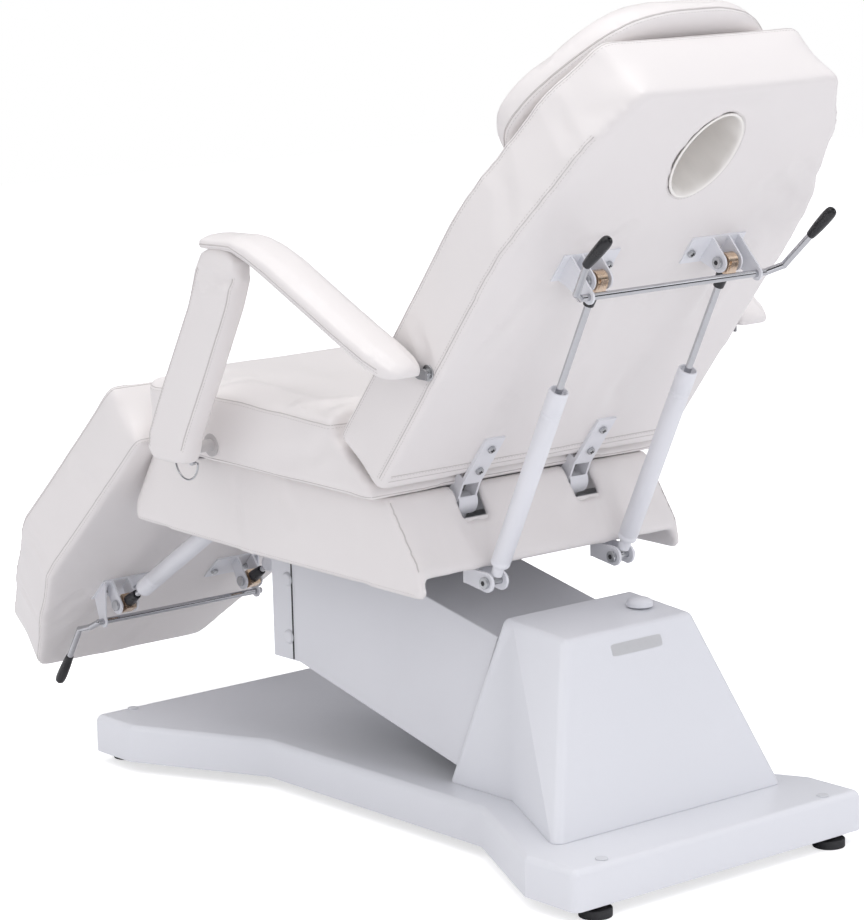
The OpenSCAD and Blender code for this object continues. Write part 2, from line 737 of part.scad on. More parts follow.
washer_d = 34;
washer_t = 3;
washer_x = bed_hw - side_pull / 2 + skin_clear / 3;
boss_d = 18;
arm_in = bed_hw + arm_clear;
arm_out = arm_in + arm_w;
front_in = arm_out - front_t;
front_pin_d = 10;
module armrest_bosses() {
    color("darkgray") both() {
        across(washer_d / 2, washer_t, washer_x + washer_t / 2, front_foot);
        across(boss_d / 2, front_in - washer_x - washer_t - skin_clear,
            (front_in + washer_x + washer_t - skin_clear) / 2, front_foot);
        across(front_pin_d / 2, front_t / 2 + washer_t, front_in + front_t / 4 - washer_t / 2, front_foot);
    }
}
// Half rings under the seat's edge, where a strap or a towel can be hung
ring_y = -359;
ring_r = 28;
ring_wire = 3;
ring_x = bed_hw + 2;
eye_r = 3.2;
staple_w = 6;
staple_t = 2;
staple_reach = 22;
ring_z = seat_low(ring_y + ring_r) - skin_clear - eye_r - staple_t;
module ring_staples() {
    color("silver") both() for (k = [-1, 1]) difference() {
        union() {
            across(eye_r + staple_t, staple_w, ring_x, [ring_y + k * (ring_r / 2), ring_z]);
            box(bed_hw - staple_reach, ring_x, ring_y + k * (ring_r / 2) - eye_r - staple_t,
                ring_y + k * (ring_r / 2) + eye_r + staple_t, ring_z + eye_r, ring_z + eye_r + staple_t);
        }
        translate([ring_x, ring_y, ring_z]) rotate([90, 0, 0])
            cylinder(d = ring_wire + 2 * run, h = 4 * ring_r, center = true);
    }
}
module half_ring() {
    translate([ring_x, ring_y, ring_z]) {
        rotate([90, 0, 0]) cylinder(d = ring_wire, h = 2 * ring_r + ring_wire, center = true);
        rotate([0, 90, 0]) rotate([0, 0, -90]) rotate_extrude(angle = 180)
            translate([ring_r, 0]) circle(d = ring_wire);
    }
}
module ring_left() { color("silver") half_ring(); }
module ring_right() { color("silver") mirror([1, 0, 0]) half_ring(); }

// Back

back_wide_share = 0.616;
back_taper_share = 0.879;
back_mid_hw_share = 0.82;
back_top_hw_share = 0.632;
back_low_hw_share = 0.989;
back_right = [
    [bed_hw * back_low_hw_share, 0, edge_r], [bed_hw, back_len * back_wide_share, beam_w],
    [bed_hw * back_mid_hw_share, back_len * back_taper_share, beam_w / 2],
    [bed_hw * back_top_hw_share, back_len, corner_cut]];
function mirrored(c) = concat(c, [for (i = [len(c) - 1:-1:0]) [-c[i][0], c[i][1], c[i][2]]]);
function both_sides(c) = concat(c, [for (i = [len(c) - 1:-1:0]) [-c[i][0], c[i][1]]]);
back_outline = soft_outline(mirrored(back_right), seat_bow, 3, 3);
pocket_in = 34;
board_foot_s = 12;
// The board's outline, and with g the pocket's around it
function back_panel(g) = both_sides([
    [bed_hw - pocket_in + g, board_foot_s - g],
    [bed_hw - pocket_in + g, back_len * back_wide_share - pocket_in / 3 + g],
    [bed_hw * back_mid_hw_share - pocket_in + g, back_len * back_taper_share - pocket_in / 2 + g],
    [bed_hw * back_top_hw_share - pocket_in + g, back_len - pocket_in + g]]);
function oval(w, l) = [for (a = [0:9:351]) [w / 2 * cos(a), hole_at + l / 2 * sin(a)]];
module from_rear(depth) { rotate([90, 0, 0]) linear_extrude(depth) children(); }
lining_t = 3;
heel_r = 25;
module back_cushion() {
    color("ghostwhite") on_back() difference() {
        skin(stood(face_rings(back_outline, back_t, crown, heel_r)));
        translate([0, over, 0]) from_rear(board_t + skin_clear + over)
            polygon(back_panel(skin_clear));
        translate([0, back_t, 0]) from_rear(3 * back_t) polygon(oval(hole_w, hole_len));
    }
}
module back_board() {
    color("burlywood") on_back() from_rear(board_t) difference() {
        polygon(back_panel(0));
        polygon(oval(hole_w, hole_len));
    }
}
module hole_lining() {
    color("white") on_back() from_rear(back_t - over) difference() {
        polygon(oval(hole_w - skin_clear, hole_len - skin_clear));
        polygon(oval(hole_w - 2 * lining_t, hole_len - 2 * lining_t));
    }
}
pillow_at = 465;
pillow_right = [
    [pillow_w * 0.36, pillow_at, beam_w], [pillow_w / 2, pillow_at + pillow_len * 0.3, beam_w / 2],
    [pillow_w * 0.3, pillow_at + pillow_len, beam_w]];
// Shares of the pillow's thickness, inward and forward, from its rear face to its front
pillow_shares = [
    [0.5, 0], [0.2, 0.1], [0.04, 0.3], [0, 0.48], [0.05, 0.66], [0.25, 0.86], [0.5, 0.95], [0.9, 1]];
module pillow() {
    o = soft_outline(mirrored(pillow_right), seat_bow * 2, 3, 4);
    color("white") on_back() translate([0, -back_t - crown - skin_clear, 0])
        skin(stood([for (s = pillow_shares)
            [for (p = inset(o, pillow_t * s[0])) [p[0], p[1], pillow_t * s[1]]]]));
}
bar_len = 80;
bar_hw = 17.5;
bar_plate = 5;
bar_screw_s = [18, 61];
screw_d = 6;
pivot_s = (recline_at - back_foot) * back_along;
pivot_r = (recline_at - back_foot) * back_out;
module back_hinges() {
    color("whitesmoke") on_back() both() {
        difference() {
            box(lug_x - bar_hw, lug_x + bar_hw, 0, bar_plate, pivot_s / 5, bar_len);
            for (s = bar_screw_s) translate([lug_x, 0, s]) rotate([90, 0, 0])
                cylinder(d = screw_d, h = 4 * bar_plate, center = true);
        }
        for (k = [-1, 1]) difference() {
            side(hinge_plate, lug_x + k * hinge_ear_x) union() {
                translate([pivot_r, pivot_s]) circle(lug_r + over);
                polygon([
                    [pivot_r - lug_r - over, pivot_s], [pivot_r + lug_r + over, pivot_s],
                    [bar_plate, pivot_s / 5], [bar_plate, -over], [-lug_r, -over]]);
            }
            across(pin_d / 2 + run, hinge_plate * 3, lug_x + k * hinge_ear_x, [pivot_r, pivot_s]);
        }
    }
}
head_d = 12;
head_t = 5;
module panel_screw(x, s, face) {
    translate([x, face, s]) rotate([-90, 0, 0]) cylinder(d = head_d, h = head_t);
    translate([x, -board_t / 2, s]) rotate([-90, 0, 0])
        cylinder(d = screw_d - 2 * run, h = board_t / 2 + face);
}
module back_hinge_screws() {
    color("silver") on_back() both() for (s = bar_screw_s) panel_screw(lug_x, s, bar_plate);
}
// Brackets that carry the springs' release heads: a base plate with two ears
bracket_hw = 50;
bracket_s = 387;
bracket_len = 46;
bracket_t = 3;
bracket_ear = 15;
release_r = 60.5;
release_s = 412;
release_hw = 170;
bar_ear_x = release_hw - 16;
bracket_mid = 116.5;
module back_brackets() {
    color("whitesmoke") on_back() both() {
        difference() {
            box(bracket_mid - bracket_hw, bracket_mid + bracket_hw, 0, bracket_t,
                bracket_s, bracket_s + bracket_len);
            for (x = back_screw_x) translate([x, 0, back_screw_s]) rotate([90, 0, 0])
                cylinder(d = screw_d, h = 4 * bar_plate, center = true);
        }
        for (k = [-1, 1]) side(bracket_t, spring_x + k * bracket_ear) union() {
            translate([back_head_r, back_head_s]) circle(clevis_r);
            polygon([
                [0, bracket_s + over], [back_head_r, back_head_s - clevis_r],
                [back_head_r, back_head_s + clevis_r], [0, bracket_s + bracket_len - over]]);
        }
        difference() {
            side(bracket_t, bar_ear_x) union() {
                translate([release_r, release_s]) circle(lever_d);
                polygon([
                    [0, bracket_s + over], [release_r, release_s - lever_d],
                    [release_r, release_s + lever_d], [0, bracket_s + bracket_len - over]]);
            }
            across(lever_d / 2 + run, bracket_t * 3, bar_ear_x, [release_r, release_s]);
        }
    }
}
back_screw_x = [76, 146];
back_screw_s = 407;
module back_bracket_screws() {
    color("silver") on_back() both() {
        for (x = back_screw_x) panel_screw(x, back_screw_s, bracket_t);
        for (k = [-1, 1]) across(bolt_d / 2, head_t,
            spring_x + k * (bracket_ear + bracket_t / 2 + head_t / 2), [back_head_r, back_head_s]);
    }
}
rest_pin_d = 12;
rest_washer_x = bed_hw - side_pull + 2 * skin_clear;
tab_t = 3;
tab_x = arm_in - tab_t - skin_clear;
module armrest_pins() {
    color("silver") both() {
        across(washer_d / 3, washer_t, rest_washer_x + washer_t / 2, rest_tip);
        across(rest_pin_d / 2, tab_x - skin_clear - rest_washer_x,
            (tab_x - skin_clear + rest_washer_x) / 2, rest_tip);
    }
}
// Release levers: a rod bent at its end, carrying a grip
knuckle_share = 1.06;
module rod_path(points, d) {
    for (i = [0:len(points) - 2]) {
        v = points[i + 1] - points[i];
        translate(points[i]) rotate([0, acos(v[2] / norm(v)), atan2(v[1], v[0])])
            cylinder(d = d, h = norm(v));
        translate(points[i]) sphere(d = d * knuckle_share);
    }
}
function back_place(p) =
    let (q = [p[1], p[2]] - back_foot) [p[0], q * back_out, q * back_along];
lever_start = [release_hw, release_r, release_s];
lever_bend_at = [190, 396, 818];
lever_hold_at = [205, 433, 861];
lever_end_at = [204, 475, 898];
lever_bend = back_place(lever_bend_at);
lever_hold = back_place(lever_hold_at);
lever_end = back_place(lever_end_at);
module back_release_bar() {
    color("silver") on_back() {
        across(lever_d / 2, 2 * release_hw, 0, [release_r, release_s]);
        both() rod_path([lever_start, lever_bend, lever_hold], lever_d);
    }
}
module grip_on(a, b) {
    v = b - a;
    translate(a) rotate([0, acos(v[2] / norm(v)), atan2(v[1], v[0])]) {
        cylinder(d1 = grip_d * 0.8, d2 = grip_d, h = norm(v) / 5);
        translate([0, 0, norm(v) / 5]) cylinder(d = grip_d, h = norm(v) * 0.7);
        translate([0, 0, norm(v) * 0.9]) cylinder(d1 = grip_d, d2 = grip_d * 0.7, h = norm(v) / 10);
    }
}
module back_lever_grips() {
    color("dimgray") on_back() both() grip_on(lever_hold, lever_end);
}

// Gas springs: a tube hinged at its foot, a rod sliding in it and a release head
back_tube_to = 318;
leg_tube_to = 335;
spring_from = 24;
eye_hw = clevis_hw - skin_clear;
module spring_tube(x, len_to) {
    difference() {
        union() {
            across(clevis_r - over, 2 * eye_hw, x);
            translate([x, 0, 0]) cylinder(d = tube_d * 0.6, h = spring_from + over);
            translate([x, 0, spring_from]) cylinder(d = tube_d, h = len_to - spring_from);
        }
        across(pin_d / 2 + run, 3 * eye_hw, x);
        translate([x, 0, spring_from * 2]) cylinder(d = rod_d + 2 * run, h = len_to);
    }
}
module down_leg() { rotate([90, 0, 0]) children(); }
module back_spring_tubes() {
    color("whitesmoke") on_back_spring() both() spring_tube(spring_x, back_tube_to);
}
module leg_spring_tubes() {
    color("whitesmoke") on_leg_spring() down_leg() both() spring_tube(leg_spring_x, leg_tube_to);
}
head_stem = 14;
module spring_rod(x, from, to) { translate([x, 0, from]) cylinder(d = rod_d, h = to - from); }
back_rod_from = back_tube_to - 150;
leg_rod_from = leg_tube_to - 120;
module back_spring_rods() {
    color("silver") on_back_spring() both() spring_rod(spring_x, back_rod_from, back_spring_len - head_stem);
}
module leg_spring_rods() {
    color("silver") on_leg_spring() down_leg() both()
        spring_rod(leg_spring_x, leg_rod_from, leg_spring_len - head_stem);
}
boot_len = 26;
boot_d = 20;
module spring_boot(x, to) {
    translate([x, 0, to - boot_len]) difference() {
        cylinder(d1 = boot_d * 0.75, d2 = boot_d, h = boot_len);
        translate([0, 0, -over]) cylinder(d = rod_d + 2 * run, h = boot_len + 2 * over);
    }
}
module back_spring_boots() {
    color("black") on_back_spring() both() spring_boot(spring_x, back_spring_len - head_stem);
}
module leg_spring_boots() {
    color("black") on_leg_spring() down_leg() both() spring_boot(leg_spring_x, leg_spring_len - head_stem);
}
release_hw_x = 12;
release_up = 16;
module release_head(x, len_to) {
    translate([x, 0, len_to]) difference() {
        union() {
            across(head_stem - over, 2 * release_hw_x - 2 * bracket_t);
            box(-release_hw_x + bracket_t, release_hw_x - bracket_t,
                -head_stem + over, head_stem - over, -head_stem, 0);
            translate([0, head_stem - 2 * over, 0])
                box(-release_hw_x / 2, release_hw_x / 2, 0, release_up / 8, -head_stem / 2, release_up / 2);
        }
        across(pin_d / 2, 3 * release_hw_x);
    }
}
module back_release_heads() {
    color("goldenrod") on_back_spring() both() release_head(spring_x, back_spring_len);
}
module leg_release_heads() {
    color("goldenrod") on_leg_spring() down_leg() both() release_head(leg_spring_x, leg_spring_len);
}

// Leg rest

leg_wide_share = 0.537;
leg_mid_share = 0.771;
leg_mid_hw_share = 0.8;
leg_end_hw_share = 0.582;
leg_right = [
    [bed_hw * leg_end_hw_share, leg_end_u - leg_len, beam_w / 2],
    [bed_hw * leg_mid_hw_share, leg_end_u - leg_len * leg_mid_share, beam_w / 2],
    [bed_hw, leg_end_u - leg_len * leg_wide_share, beam_w / 2], [bed_hw, leg_end_u, edge_r]];
leg_outline = soft_outline(mirrored(leg_right), seat_bow, 3, 3);
leg_foot_y = -bar_len / 4;
function leg_panel(g) = [
    for (p = both_sides([
        [bed_hw * leg_end_hw_share - pocket_in + g, leg_end_u - leg_len + pocket_in - g],
        [bed_hw * leg_mid_hw_share - pocket_in + g, leg_end_u - leg_len * leg_mid_share + pocket_in / 2 - g],
        [bed_hw - pocket_in + g, leg_end_u - leg_len * leg_wide_share + pocket_in / 3 - g],
        [bed_hw - pocket_in + g, leg_foot_y + g]])) p];
module leg_cushion() {
    color("ghostwhite") on_leg() difference() {
        translate([0, 0, leg_under_n]) skin(face_rings(leg_outline, leg_t, crown, 0));
        translate([0, 0, leg_under_n - over]) linear_extrude(board_t + skin_clear + over)
            polygon(leg_panel(skin_clear));
    }
}
module leg_board() {
    color("burlywood") on_leg() translate([0, 0, leg_under_n]) linear_extrude(board_t)
        polygon(leg_panel(0));
}
module leg_hinges() {
    color("whitesmoke") on_leg() both() {
        box(leg_lug_x - bar_hw, leg_lug_x + bar_hw, -bar_len, -lug_r, leg_under_n - bar_plate, leg_under_n);
        for (k = [-1, 1]) difference() {
            side(hinge_plate, leg_lug_x + k * hinge_ear_x) union() {
                circle(lug_r);
                polygon([
                    [0, -lug_r], [0, leg_under_n - over / 2], [-bar_len / 2, leg_under_n - over / 2],
                    [-bar_len / 2, leg_under_n - bar_plate - over]]);
            }
            across(pin_d / 2 + run, hinge_plate * 3, leg_lug_x + k * hinge_ear_x);
        }
    }
}
leg_bracket_u = 385;
leg_bracket_len = 46;
leg_bracket_mid = 112;
leg_bracket_hw = 45;
leg_bar_u = 440;
leg_bar_n = -31;
leg_screw_x = [77, 140];
leg_screw_u = 419;
leg_bar_ear_x = 152;
leg_face = leg_under_n;
module leg_brackets() {
    color("whitesmoke") on_leg() both() {
        difference() {
            box(leg_bracket_mid - leg_bracket_hw, leg_bracket_mid + leg_bracket_hw,
                -leg_bracket_u - leg_bracket_len - bar_plate, -leg_bracket_u, leg_face - bracket_t, leg_face);
            for (x = leg_screw_x) translate([x, -leg_screw_u, 0]) cylinder(d = screw_d, h = 2 * leg_face);
        }
        for (k = [-1, 1]) side(bracket_t, leg_spring_x + k * bracket_ear) union() {
            translate([-leg_head_u, leg_head_n]) circle(clevis_r);
            polygon([
                [-leg_bracket_u - over, leg_face - over], [-leg_head_u + clevis_r, leg_head_n],
                [-leg_head_u - clevis_r, leg_head_n],
                [-leg_bracket_u - leg_bracket_len / 2, leg_face - over]]);
        }
        difference() {
            side(bracket_t, leg_bar_ear_x) union() {
                translate([-leg_bar_u, leg_bar_n]) circle(lever_d);
                polygon([
                    [-leg_bracket_u - over, leg_face - over], [-leg_bar_u + lever_d, leg_bar_n],
                    [-leg_bar_u - lever_d, leg_bar_n], [-leg_bracket_u - leg_bracket_len, leg_face - over]]);
            }
            across(lever_d / 2 + run, bracket_t * 3, leg_bar_ear_x, [-leg_bar_u, leg_bar_n]);
        }
    }
}
module leg_bracket_screws() {
    color("silver") on_leg() both() {
        for (x = leg_screw_x) translate([x, -leg_screw_u, 0]) {
            translate([0, 0, leg_face - bracket_t - head_t]) cylinder(d = head_d, h = head_t);
            translate([0, 0, leg_face - bracket_t - over])
                cylinder(d = screw_d - 2 * run, h = board_t / 2 + bracket_t);
        }
        for (k = [-1, 1]) across(bolt_d / 2, head_t,
            leg_spring_x + k * (bracket_ear + bracket_t / 2 + head_t / 2), [-leg_head_u, leg_head_n]);
    }
}
function leg_place(p) =
    let (q = [p[1], p[2]] - leg_at) [p[0], -(q * leg_along), q * leg_up];
leg_bar_hw = 162;
leg_lever_start = [leg_bar_hw, -leg_bar_u, leg_bar_n];
leg_lever_bend_at = [164, -812, 168];
leg_lever_turn_at = [160, -850, 157];
leg_lever_hold_at = [158, -886, 105];
leg_lever_end_at = [156, -924, 56];
leg_lever_bend = leg_place(leg_lever_bend_at);
leg_lever_turn = leg_place(leg_lever_turn_at);
leg_lever_hold = leg_place(leg_lever_hold_at);
leg_lever_end = leg_place(leg_lever_end_at);
module leg_release_bar() {
    color("silver") on_leg() {
        across(lever_d / 2, 2 * leg_bar_hw, 0, [-leg_bar_u, leg_bar_n]);
        rod_path([leg_lever_start, leg_lever_bend, leg_lever_turn, leg_lever_hold], lever_d);
    }
}
module leg_lever_grip() { color("dimgray") on_leg() grip_on(leg_lever_hold, leg_lever_end); }

// Armrests: an upper pad on a steel bar, and a front pad that carries it

pad_reach = 372;
pad_drop = 133;
// Stations along the upper pad, rear to front: shares of its reach, of its drop and of its width
pad_shares = [
    [1, -0.9774, -0.9398, 0.3, 0.62], [0.9812, -1, -0.8872, 0.1, 0.8], [0.9409, -1, -0.8083, 0.02, 0.92],
    [0.8737, -0.9173, -0.7143, 0, 1], [0.7204, -0.7143, -0.5188, 0, 1], [0.5161, -0.4436, -0.2481, 0, 1],
    [0.3038, -0.1654, 0.0376, 0, 1], [0.1828, -0.0075, 0.1579, 0, 1], [0.0914, 0.0827, 0.2105, 0, 1],
    [0.0269, 0.0902, 0.203, 0, 1], [-0.0269, 0.0865, 0.2, 0, 1], [-0.085, 0.0827, 0.1955, 0, 1],
    [-0.118, 0.0827, 0.188, 0, 0.98],
    [-0.142, 0.0902, 0.1729, 0.02, 0.92], [-0.156, 0.1053, 0.1504, 0.06, 0.78]];
pad_swell = 5;
pad_r_share = 0.42;
function pad_section(x0, x1, z0, z1, y) =
    let (r = pad_r_share * (z1 - z0), m = (x0 + x1) / 2)
    [for (p = [
        [x0 + r, z0], [m, z0], [x1 - r, z0], [x1 - r * 0.2, z0 + r * 0.2], [x1, z0 + r],
        [x1 - side_pull / 4, (z0 + z1) / 2], [x1, z1 - r], [x1 - r * 0.2, z1 - r * 0.2],
        [x1 - r, z1], [lerp(m, x1, 0.5), z1 + pad_swell * 0.8], [m, z1 + pad_swell],
        [lerp(m, x0, 0.5), z1 + pad_swell * 0.8], [x0 + r, z1], [x0 + r * 0.2, z1 - r * 0.2],
        [x0, z1 - r], [x0 + side_pull / 4, (z0 + z1) / 2], [x0, z0 + r], [x0 + r * 0.2, z0 + r * 0.2]])
        [p[0], y, p[1]]];
module arm_pad() {
    skin([for (s = pad_shares) pad_section(
        arm_in + arm_w * s[3], arm_in + arm_w * s[4], elbow_at[1] + pad_drop * s[1],
        elbow_at[1] + pad_drop * s[2], elbow_at[0] + pad_reach * s[0])]);
}
module arm_pad_left() { color("ghostwhite") arm_pad(); }
module arm_pad_right() { color("ghostwhite") mirror([1, 0, 0]) arm_pad(); }
steel_t = 4;
steel_w = 25;
steel_wide = 31;
// Places on the steel, from the elbow: its bar's front and rear end, and its lug's two upper corners
steel_front = [68, -1.3];
steel_rear = [325, -122.3];
steel_knee = [90, -11.6];
lug_front = [18, 10];
lug_rear = [88, -11];
tab_grip = 20;
tab_end = 8;
elbow_pin_d = 8;
elbow_r = 9;
module arm_steel() {
    e = elbow_at;
    down = [0, -steel_t];
    lug_mid = front_in - skin_clear - steel_t / 2;
    difference() {
        union() {
            side(steel_w + 2 * skin_clear, arm_in + steel_w / 2) polygon([
                e + steel_front, e + steel_front + down, e + steel_rear + down, e + steel_rear]);
            side(tab_t, tab_x + tab_t / 2) polygon([
                e + steel_rear + [-tab_grip, tab_end + over], rest_tip + [-tab_end, tab_end],
                rest_tip + [tab_end, tab_end / 2], rest_tip + [tab_end, -tab_end],
                rest_tip + [-tab_end, -tab_end], e + steel_rear + [-tab_grip, tab_end - 2 * steel_t]]);
            side(steel_t, lug_mid) union() {
                translate(e) circle(elbow_r);
                polygon([
                    e + [-elbow_r, 0], e + [elbow_r, -elbow_r], e + lug_rear + down,
                    e + lug_rear, e + lug_front, e + [0, elbow_r]]);
            }
            side(steel_wide, arm_in + steel_wide / 2) polygon([
                e + steel_front, e + steel_front + down, e + steel_knee + down, e + steel_knee]);
        }
        across(elbow_pin_d / 2 + run, steel_t * 3, lug_mid, e);
    }
}
module arm_steel_left() { color("dimgray") arm_steel(); }
module arm_steel_right() { color("dimgray") mirror([1, 0, 0]) arm_steel(); }
front_rise = 297;
front_tuck = 10;
// Stations up the front pad: shares of its rise, up, to its front and to its rear, and of its edge's tuck
front_shares = [
    [-0.0505, -0.1111, 0.101, 1], [-0.037, -0.1414, 0.1481, 0.4], [0.0101, -0.1582, 0.1684, 0],
    [0.0875, -0.1448, 0.1886, 0], [0.3569, 0, 0.3434, 0], [0.7407, 0.2222, 0.5556, 0],
    [0.862, 0.2997, 0.6128, 0], [0.9495, 0.3569, 0.6162, 0], [0.9764, 0.4007, 0.5859, 0.3],
    [1, 0.4411, 0.5488, 0.8]];
function front_section(x0, x1, y0, y1, z) =
    let (r = (x1 - x0) * 0.35, m = (y0 + y1) / 2)
    [for (p = [
        [x1 - r, y0], [x1 - r * 0.2, y0 + r * 0.3], [x1, y0 + r], [x1 + side_pull / 4, m],
        [x1, y1 - r], [x1 - r * 0.2, y1 - r * 0.3], [x1 - r, y1], [x0 + r, y1],
        [x0 + r * 0.2, y1 - r * 0.3], [x0, y1 - r], [x0, m], [x0, y0 + r],
        [x0 + r * 0.2, y0 + r * 0.3], [x0 + r, y0]]) [p[0], p[1], z]];
module front_pad() {
    difference() {
        skin([for (s = front_shares) front_section(
            front_in + front_tuck * s[3], arm_out - front_tuck * s[3] - side_pull / 4,
            front_foot[0] + front_rise * s[1], front_foot[0] + front_rise * s[2],
            front_foot[1] + front_rise * s[0])]);
        across(front_pin_d / 2 + run, front_t + 2 * washer_t, front_in, front_foot);
        across(elbow_pin_d / 2 + run, front_t, front_in, elbow_at);
    }
}
module front_pad_left() { color("ghostwhite") front_pad(); }
module front_pad_right() { color("ghostwhite") mirror([1, 0, 0]) front_pad(); }
module elbow_pin() {
    across(elbow_pin_d / 2, front_t / 2 + 2 * steel_t, front_in + front_t / 4 - 2 * steel_t, elbow_at);
}
module elbow_pin_left() { color("silver") elbow_pin(); }
module elbow_pin_right() { color("silver") mirror([1, 0, 0]) elbow_pin(); }

centred() {
    base_cover();
    base_frame();
    foot_pads();
    foot_caps();
    rear_housing();
    housing_cap();
    tower();
    lift_axles();
    lower_arm();
    arm_cover();
    upper_arm();
    actuator_body();
    actuator_rod();
    head_post();
    head_pins();
    seat_frame();
    skirt();
    seat_board();
    seat_cushion();
    hinge_pins();
    spring_clevises();
    clevis_bolts();
    armrest_bosses();
    ring_staples();
    ring_left();
    ring_right();
    back_board();
    back_cushion();
    hole_lining();
    pillow();
    back_hinges();
    back_hinge_screws();
    back_brackets();
    back_bracket_screws();
    armrest_pins();
    back_release_bar();
    back_lever_grips();
    back_spring_tubes();
    back_spring_rods();
    back_spring_boots();
    back_release_heads();
    leg_board();
    leg_cushion();
    leg_hinges();
    leg_brackets();
    leg_bracket_screws();
    leg_spring_tubes();
    leg_spring_rods();
    leg_spring_boots();
    leg_release_heads();
    leg_release_bar();
    leg_lever_grip();
    arm_pad_left();
    arm_pad_right();
    arm_steel_left();
    arm_steel_right();
    front_pad_left();
    front_pad_right();
    elbow_pin_left();
    elbow_pin_right();
}
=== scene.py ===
import bpy, bmesh, math
import numpy as np
from mathutils import Matrix, Vector
from mathutils.bvhtree import BVHTree


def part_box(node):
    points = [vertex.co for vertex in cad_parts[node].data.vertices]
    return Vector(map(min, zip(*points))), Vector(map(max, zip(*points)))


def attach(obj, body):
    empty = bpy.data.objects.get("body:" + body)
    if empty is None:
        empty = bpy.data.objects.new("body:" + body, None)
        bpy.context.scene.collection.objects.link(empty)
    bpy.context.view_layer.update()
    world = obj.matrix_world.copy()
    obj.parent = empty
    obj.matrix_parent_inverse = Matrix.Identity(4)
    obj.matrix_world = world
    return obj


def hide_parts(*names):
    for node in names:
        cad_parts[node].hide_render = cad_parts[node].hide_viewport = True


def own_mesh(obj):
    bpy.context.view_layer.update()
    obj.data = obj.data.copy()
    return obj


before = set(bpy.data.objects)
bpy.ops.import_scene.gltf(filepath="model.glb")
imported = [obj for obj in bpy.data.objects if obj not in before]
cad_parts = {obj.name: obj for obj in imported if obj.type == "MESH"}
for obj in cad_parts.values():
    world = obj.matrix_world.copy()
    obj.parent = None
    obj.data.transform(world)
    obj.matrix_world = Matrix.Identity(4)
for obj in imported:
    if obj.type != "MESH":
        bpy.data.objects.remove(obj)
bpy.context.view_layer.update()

# ---- Base cover ----
# One thick moulding of satin white plastic that hides the steel base. It is shaped like an
# hourglass, with a rounded top edge, and its surface keeps the fine orange peel of the mould.


def finish(name, roughness, metal=0.0):
    """A material with this roughness, of metal or not."""
    made = bpy.data.materials.new(name)
    made.use_nodes = True
    shader = made.node_tree.nodes["Principled BSDF"]
    shader.inputs["Roughness"].default_value = roughness
    shader.inputs["Metallic"].default_value = metal
    return made


def shader_group(name, inputs, outputs):
    """An empty node group with its sockets, and its input and output nodes."""
    group = bpy.data.node_groups.new(name, "ShaderNodeTree")
    for label, kind, value in inputs:
        group.interface.new_socket(label, in_out="INPUT", socket_type=kind).default_value = value
    for label, kind in outputs:
        group.interface.new_socket(label, in_out="OUTPUT", socket_type=kind)
    return group, group.nodes.new("NodeGroupInput"), group.nodes.new("NodeGroupOutput")


# Two tones that drift over a surface, as in any painted, moulded or coated sheet
cloudy, cloudy_in, cloudy_out = shader_group(
    "Cloudy tone",
    [("Tone", "NodeSocketColor", (0.8, 0.8, 0.8, 1)), ("Other tone", "NodeSocketColor", (0.7, 0.7, 0.7, 1)),
     ("Size", "NodeSocketFloat", 4.0), ("Rough low", "NodeSocketFloat", 0.3),
     ("Rough high", "NodeSocketFloat", 0.4)],
    [("Colour", "NodeSocketColor"), ("Rough", "NodeSocketFloat")])
where = cloudy.nodes.new("ShaderNodeTexCoord")
drift = cloudy.nodes.new("ShaderNodeTexNoise")
drift.inputs["Detail"].default_value = 4.0
mix = cloudy.nodes.new("ShaderNodeMix")
mix.data_type = "RGBA"
spread = cloudy.nodes.new("ShaderNodeMapRange")
spread.inputs["From Min"].default_value = 0.3
spread.inputs["From Max"].default_value = 0.7
link = cloudy.links.new
link(where.outputs["Object"], drift.inputs["Vector"])
link(cloudy_in.outputs["Size"], drift.inputs["Scale"])
link(drift.outputs["Fac"], mix.inputs["Factor"])
link(cloudy_in.outputs["Tone"], mix.inputs["A"])
link(cloudy_in.outputs["Other tone"], mix.inputs["B"])
link(mix.outputs["Result"], cloudy_out.inputs["Colour"])
link(drift.outputs["Fac"], spread.inputs["Value"])
link(cloudy_in.outputs["Rough low"], spread.inputs["To Min"])
link(cloudy_in.outputs["Rough high"], spread.inputs["To Max"])
link(spread.outputs["Result"], cloudy_out.inputs["Rough"])

# Small closed cells with a finer crackle on top: orange peel in plastic, grain in coated cloth
pebbled, pebbled_in, pebbled_out = shader_group(
    "Pebbled relief",
    [("Cells per metre", "NodeSocketFloat", 600.0), ("Crackle per metre", "NodeSocketFloat", 1500.0),
     ("Crackle share", "NodeSocketFloat", 0.4)],
    [("Relief", "NodeSocketFloat")])
where = pebbled.nodes.new("ShaderNodeTexCoord")
cells = pebbled.nodes.new("ShaderNodeTexVoronoi")
cells.feature = "SMOOTH_F1"
crackle = pebbled.nodes.new("ShaderNodeTexNoise")
mix = pebbled.nodes.new("ShaderNodeMix")
link = pebbled.links.new
link(where.outputs["Object"], cells.inputs["Vector"])
link(where.outputs["Object"], crackle.inputs["Vector"])
link(pebbled_in.outputs["Cells per metre"], cells.inputs["Scale"])
link(pebbled_in.outputs["Crackle per metre"], crackle.inputs["Scale"])
link(pebbled_in.outputs["Crackle share"], mix.inputs["Factor"])
link(cells.outputs["Distance"], mix.inputs["A"])
link(crackle.outputs["Fac"], mix.inputs["B"])
link(mix.outputs["Result"], pebbled_out.inputs["Relief"])


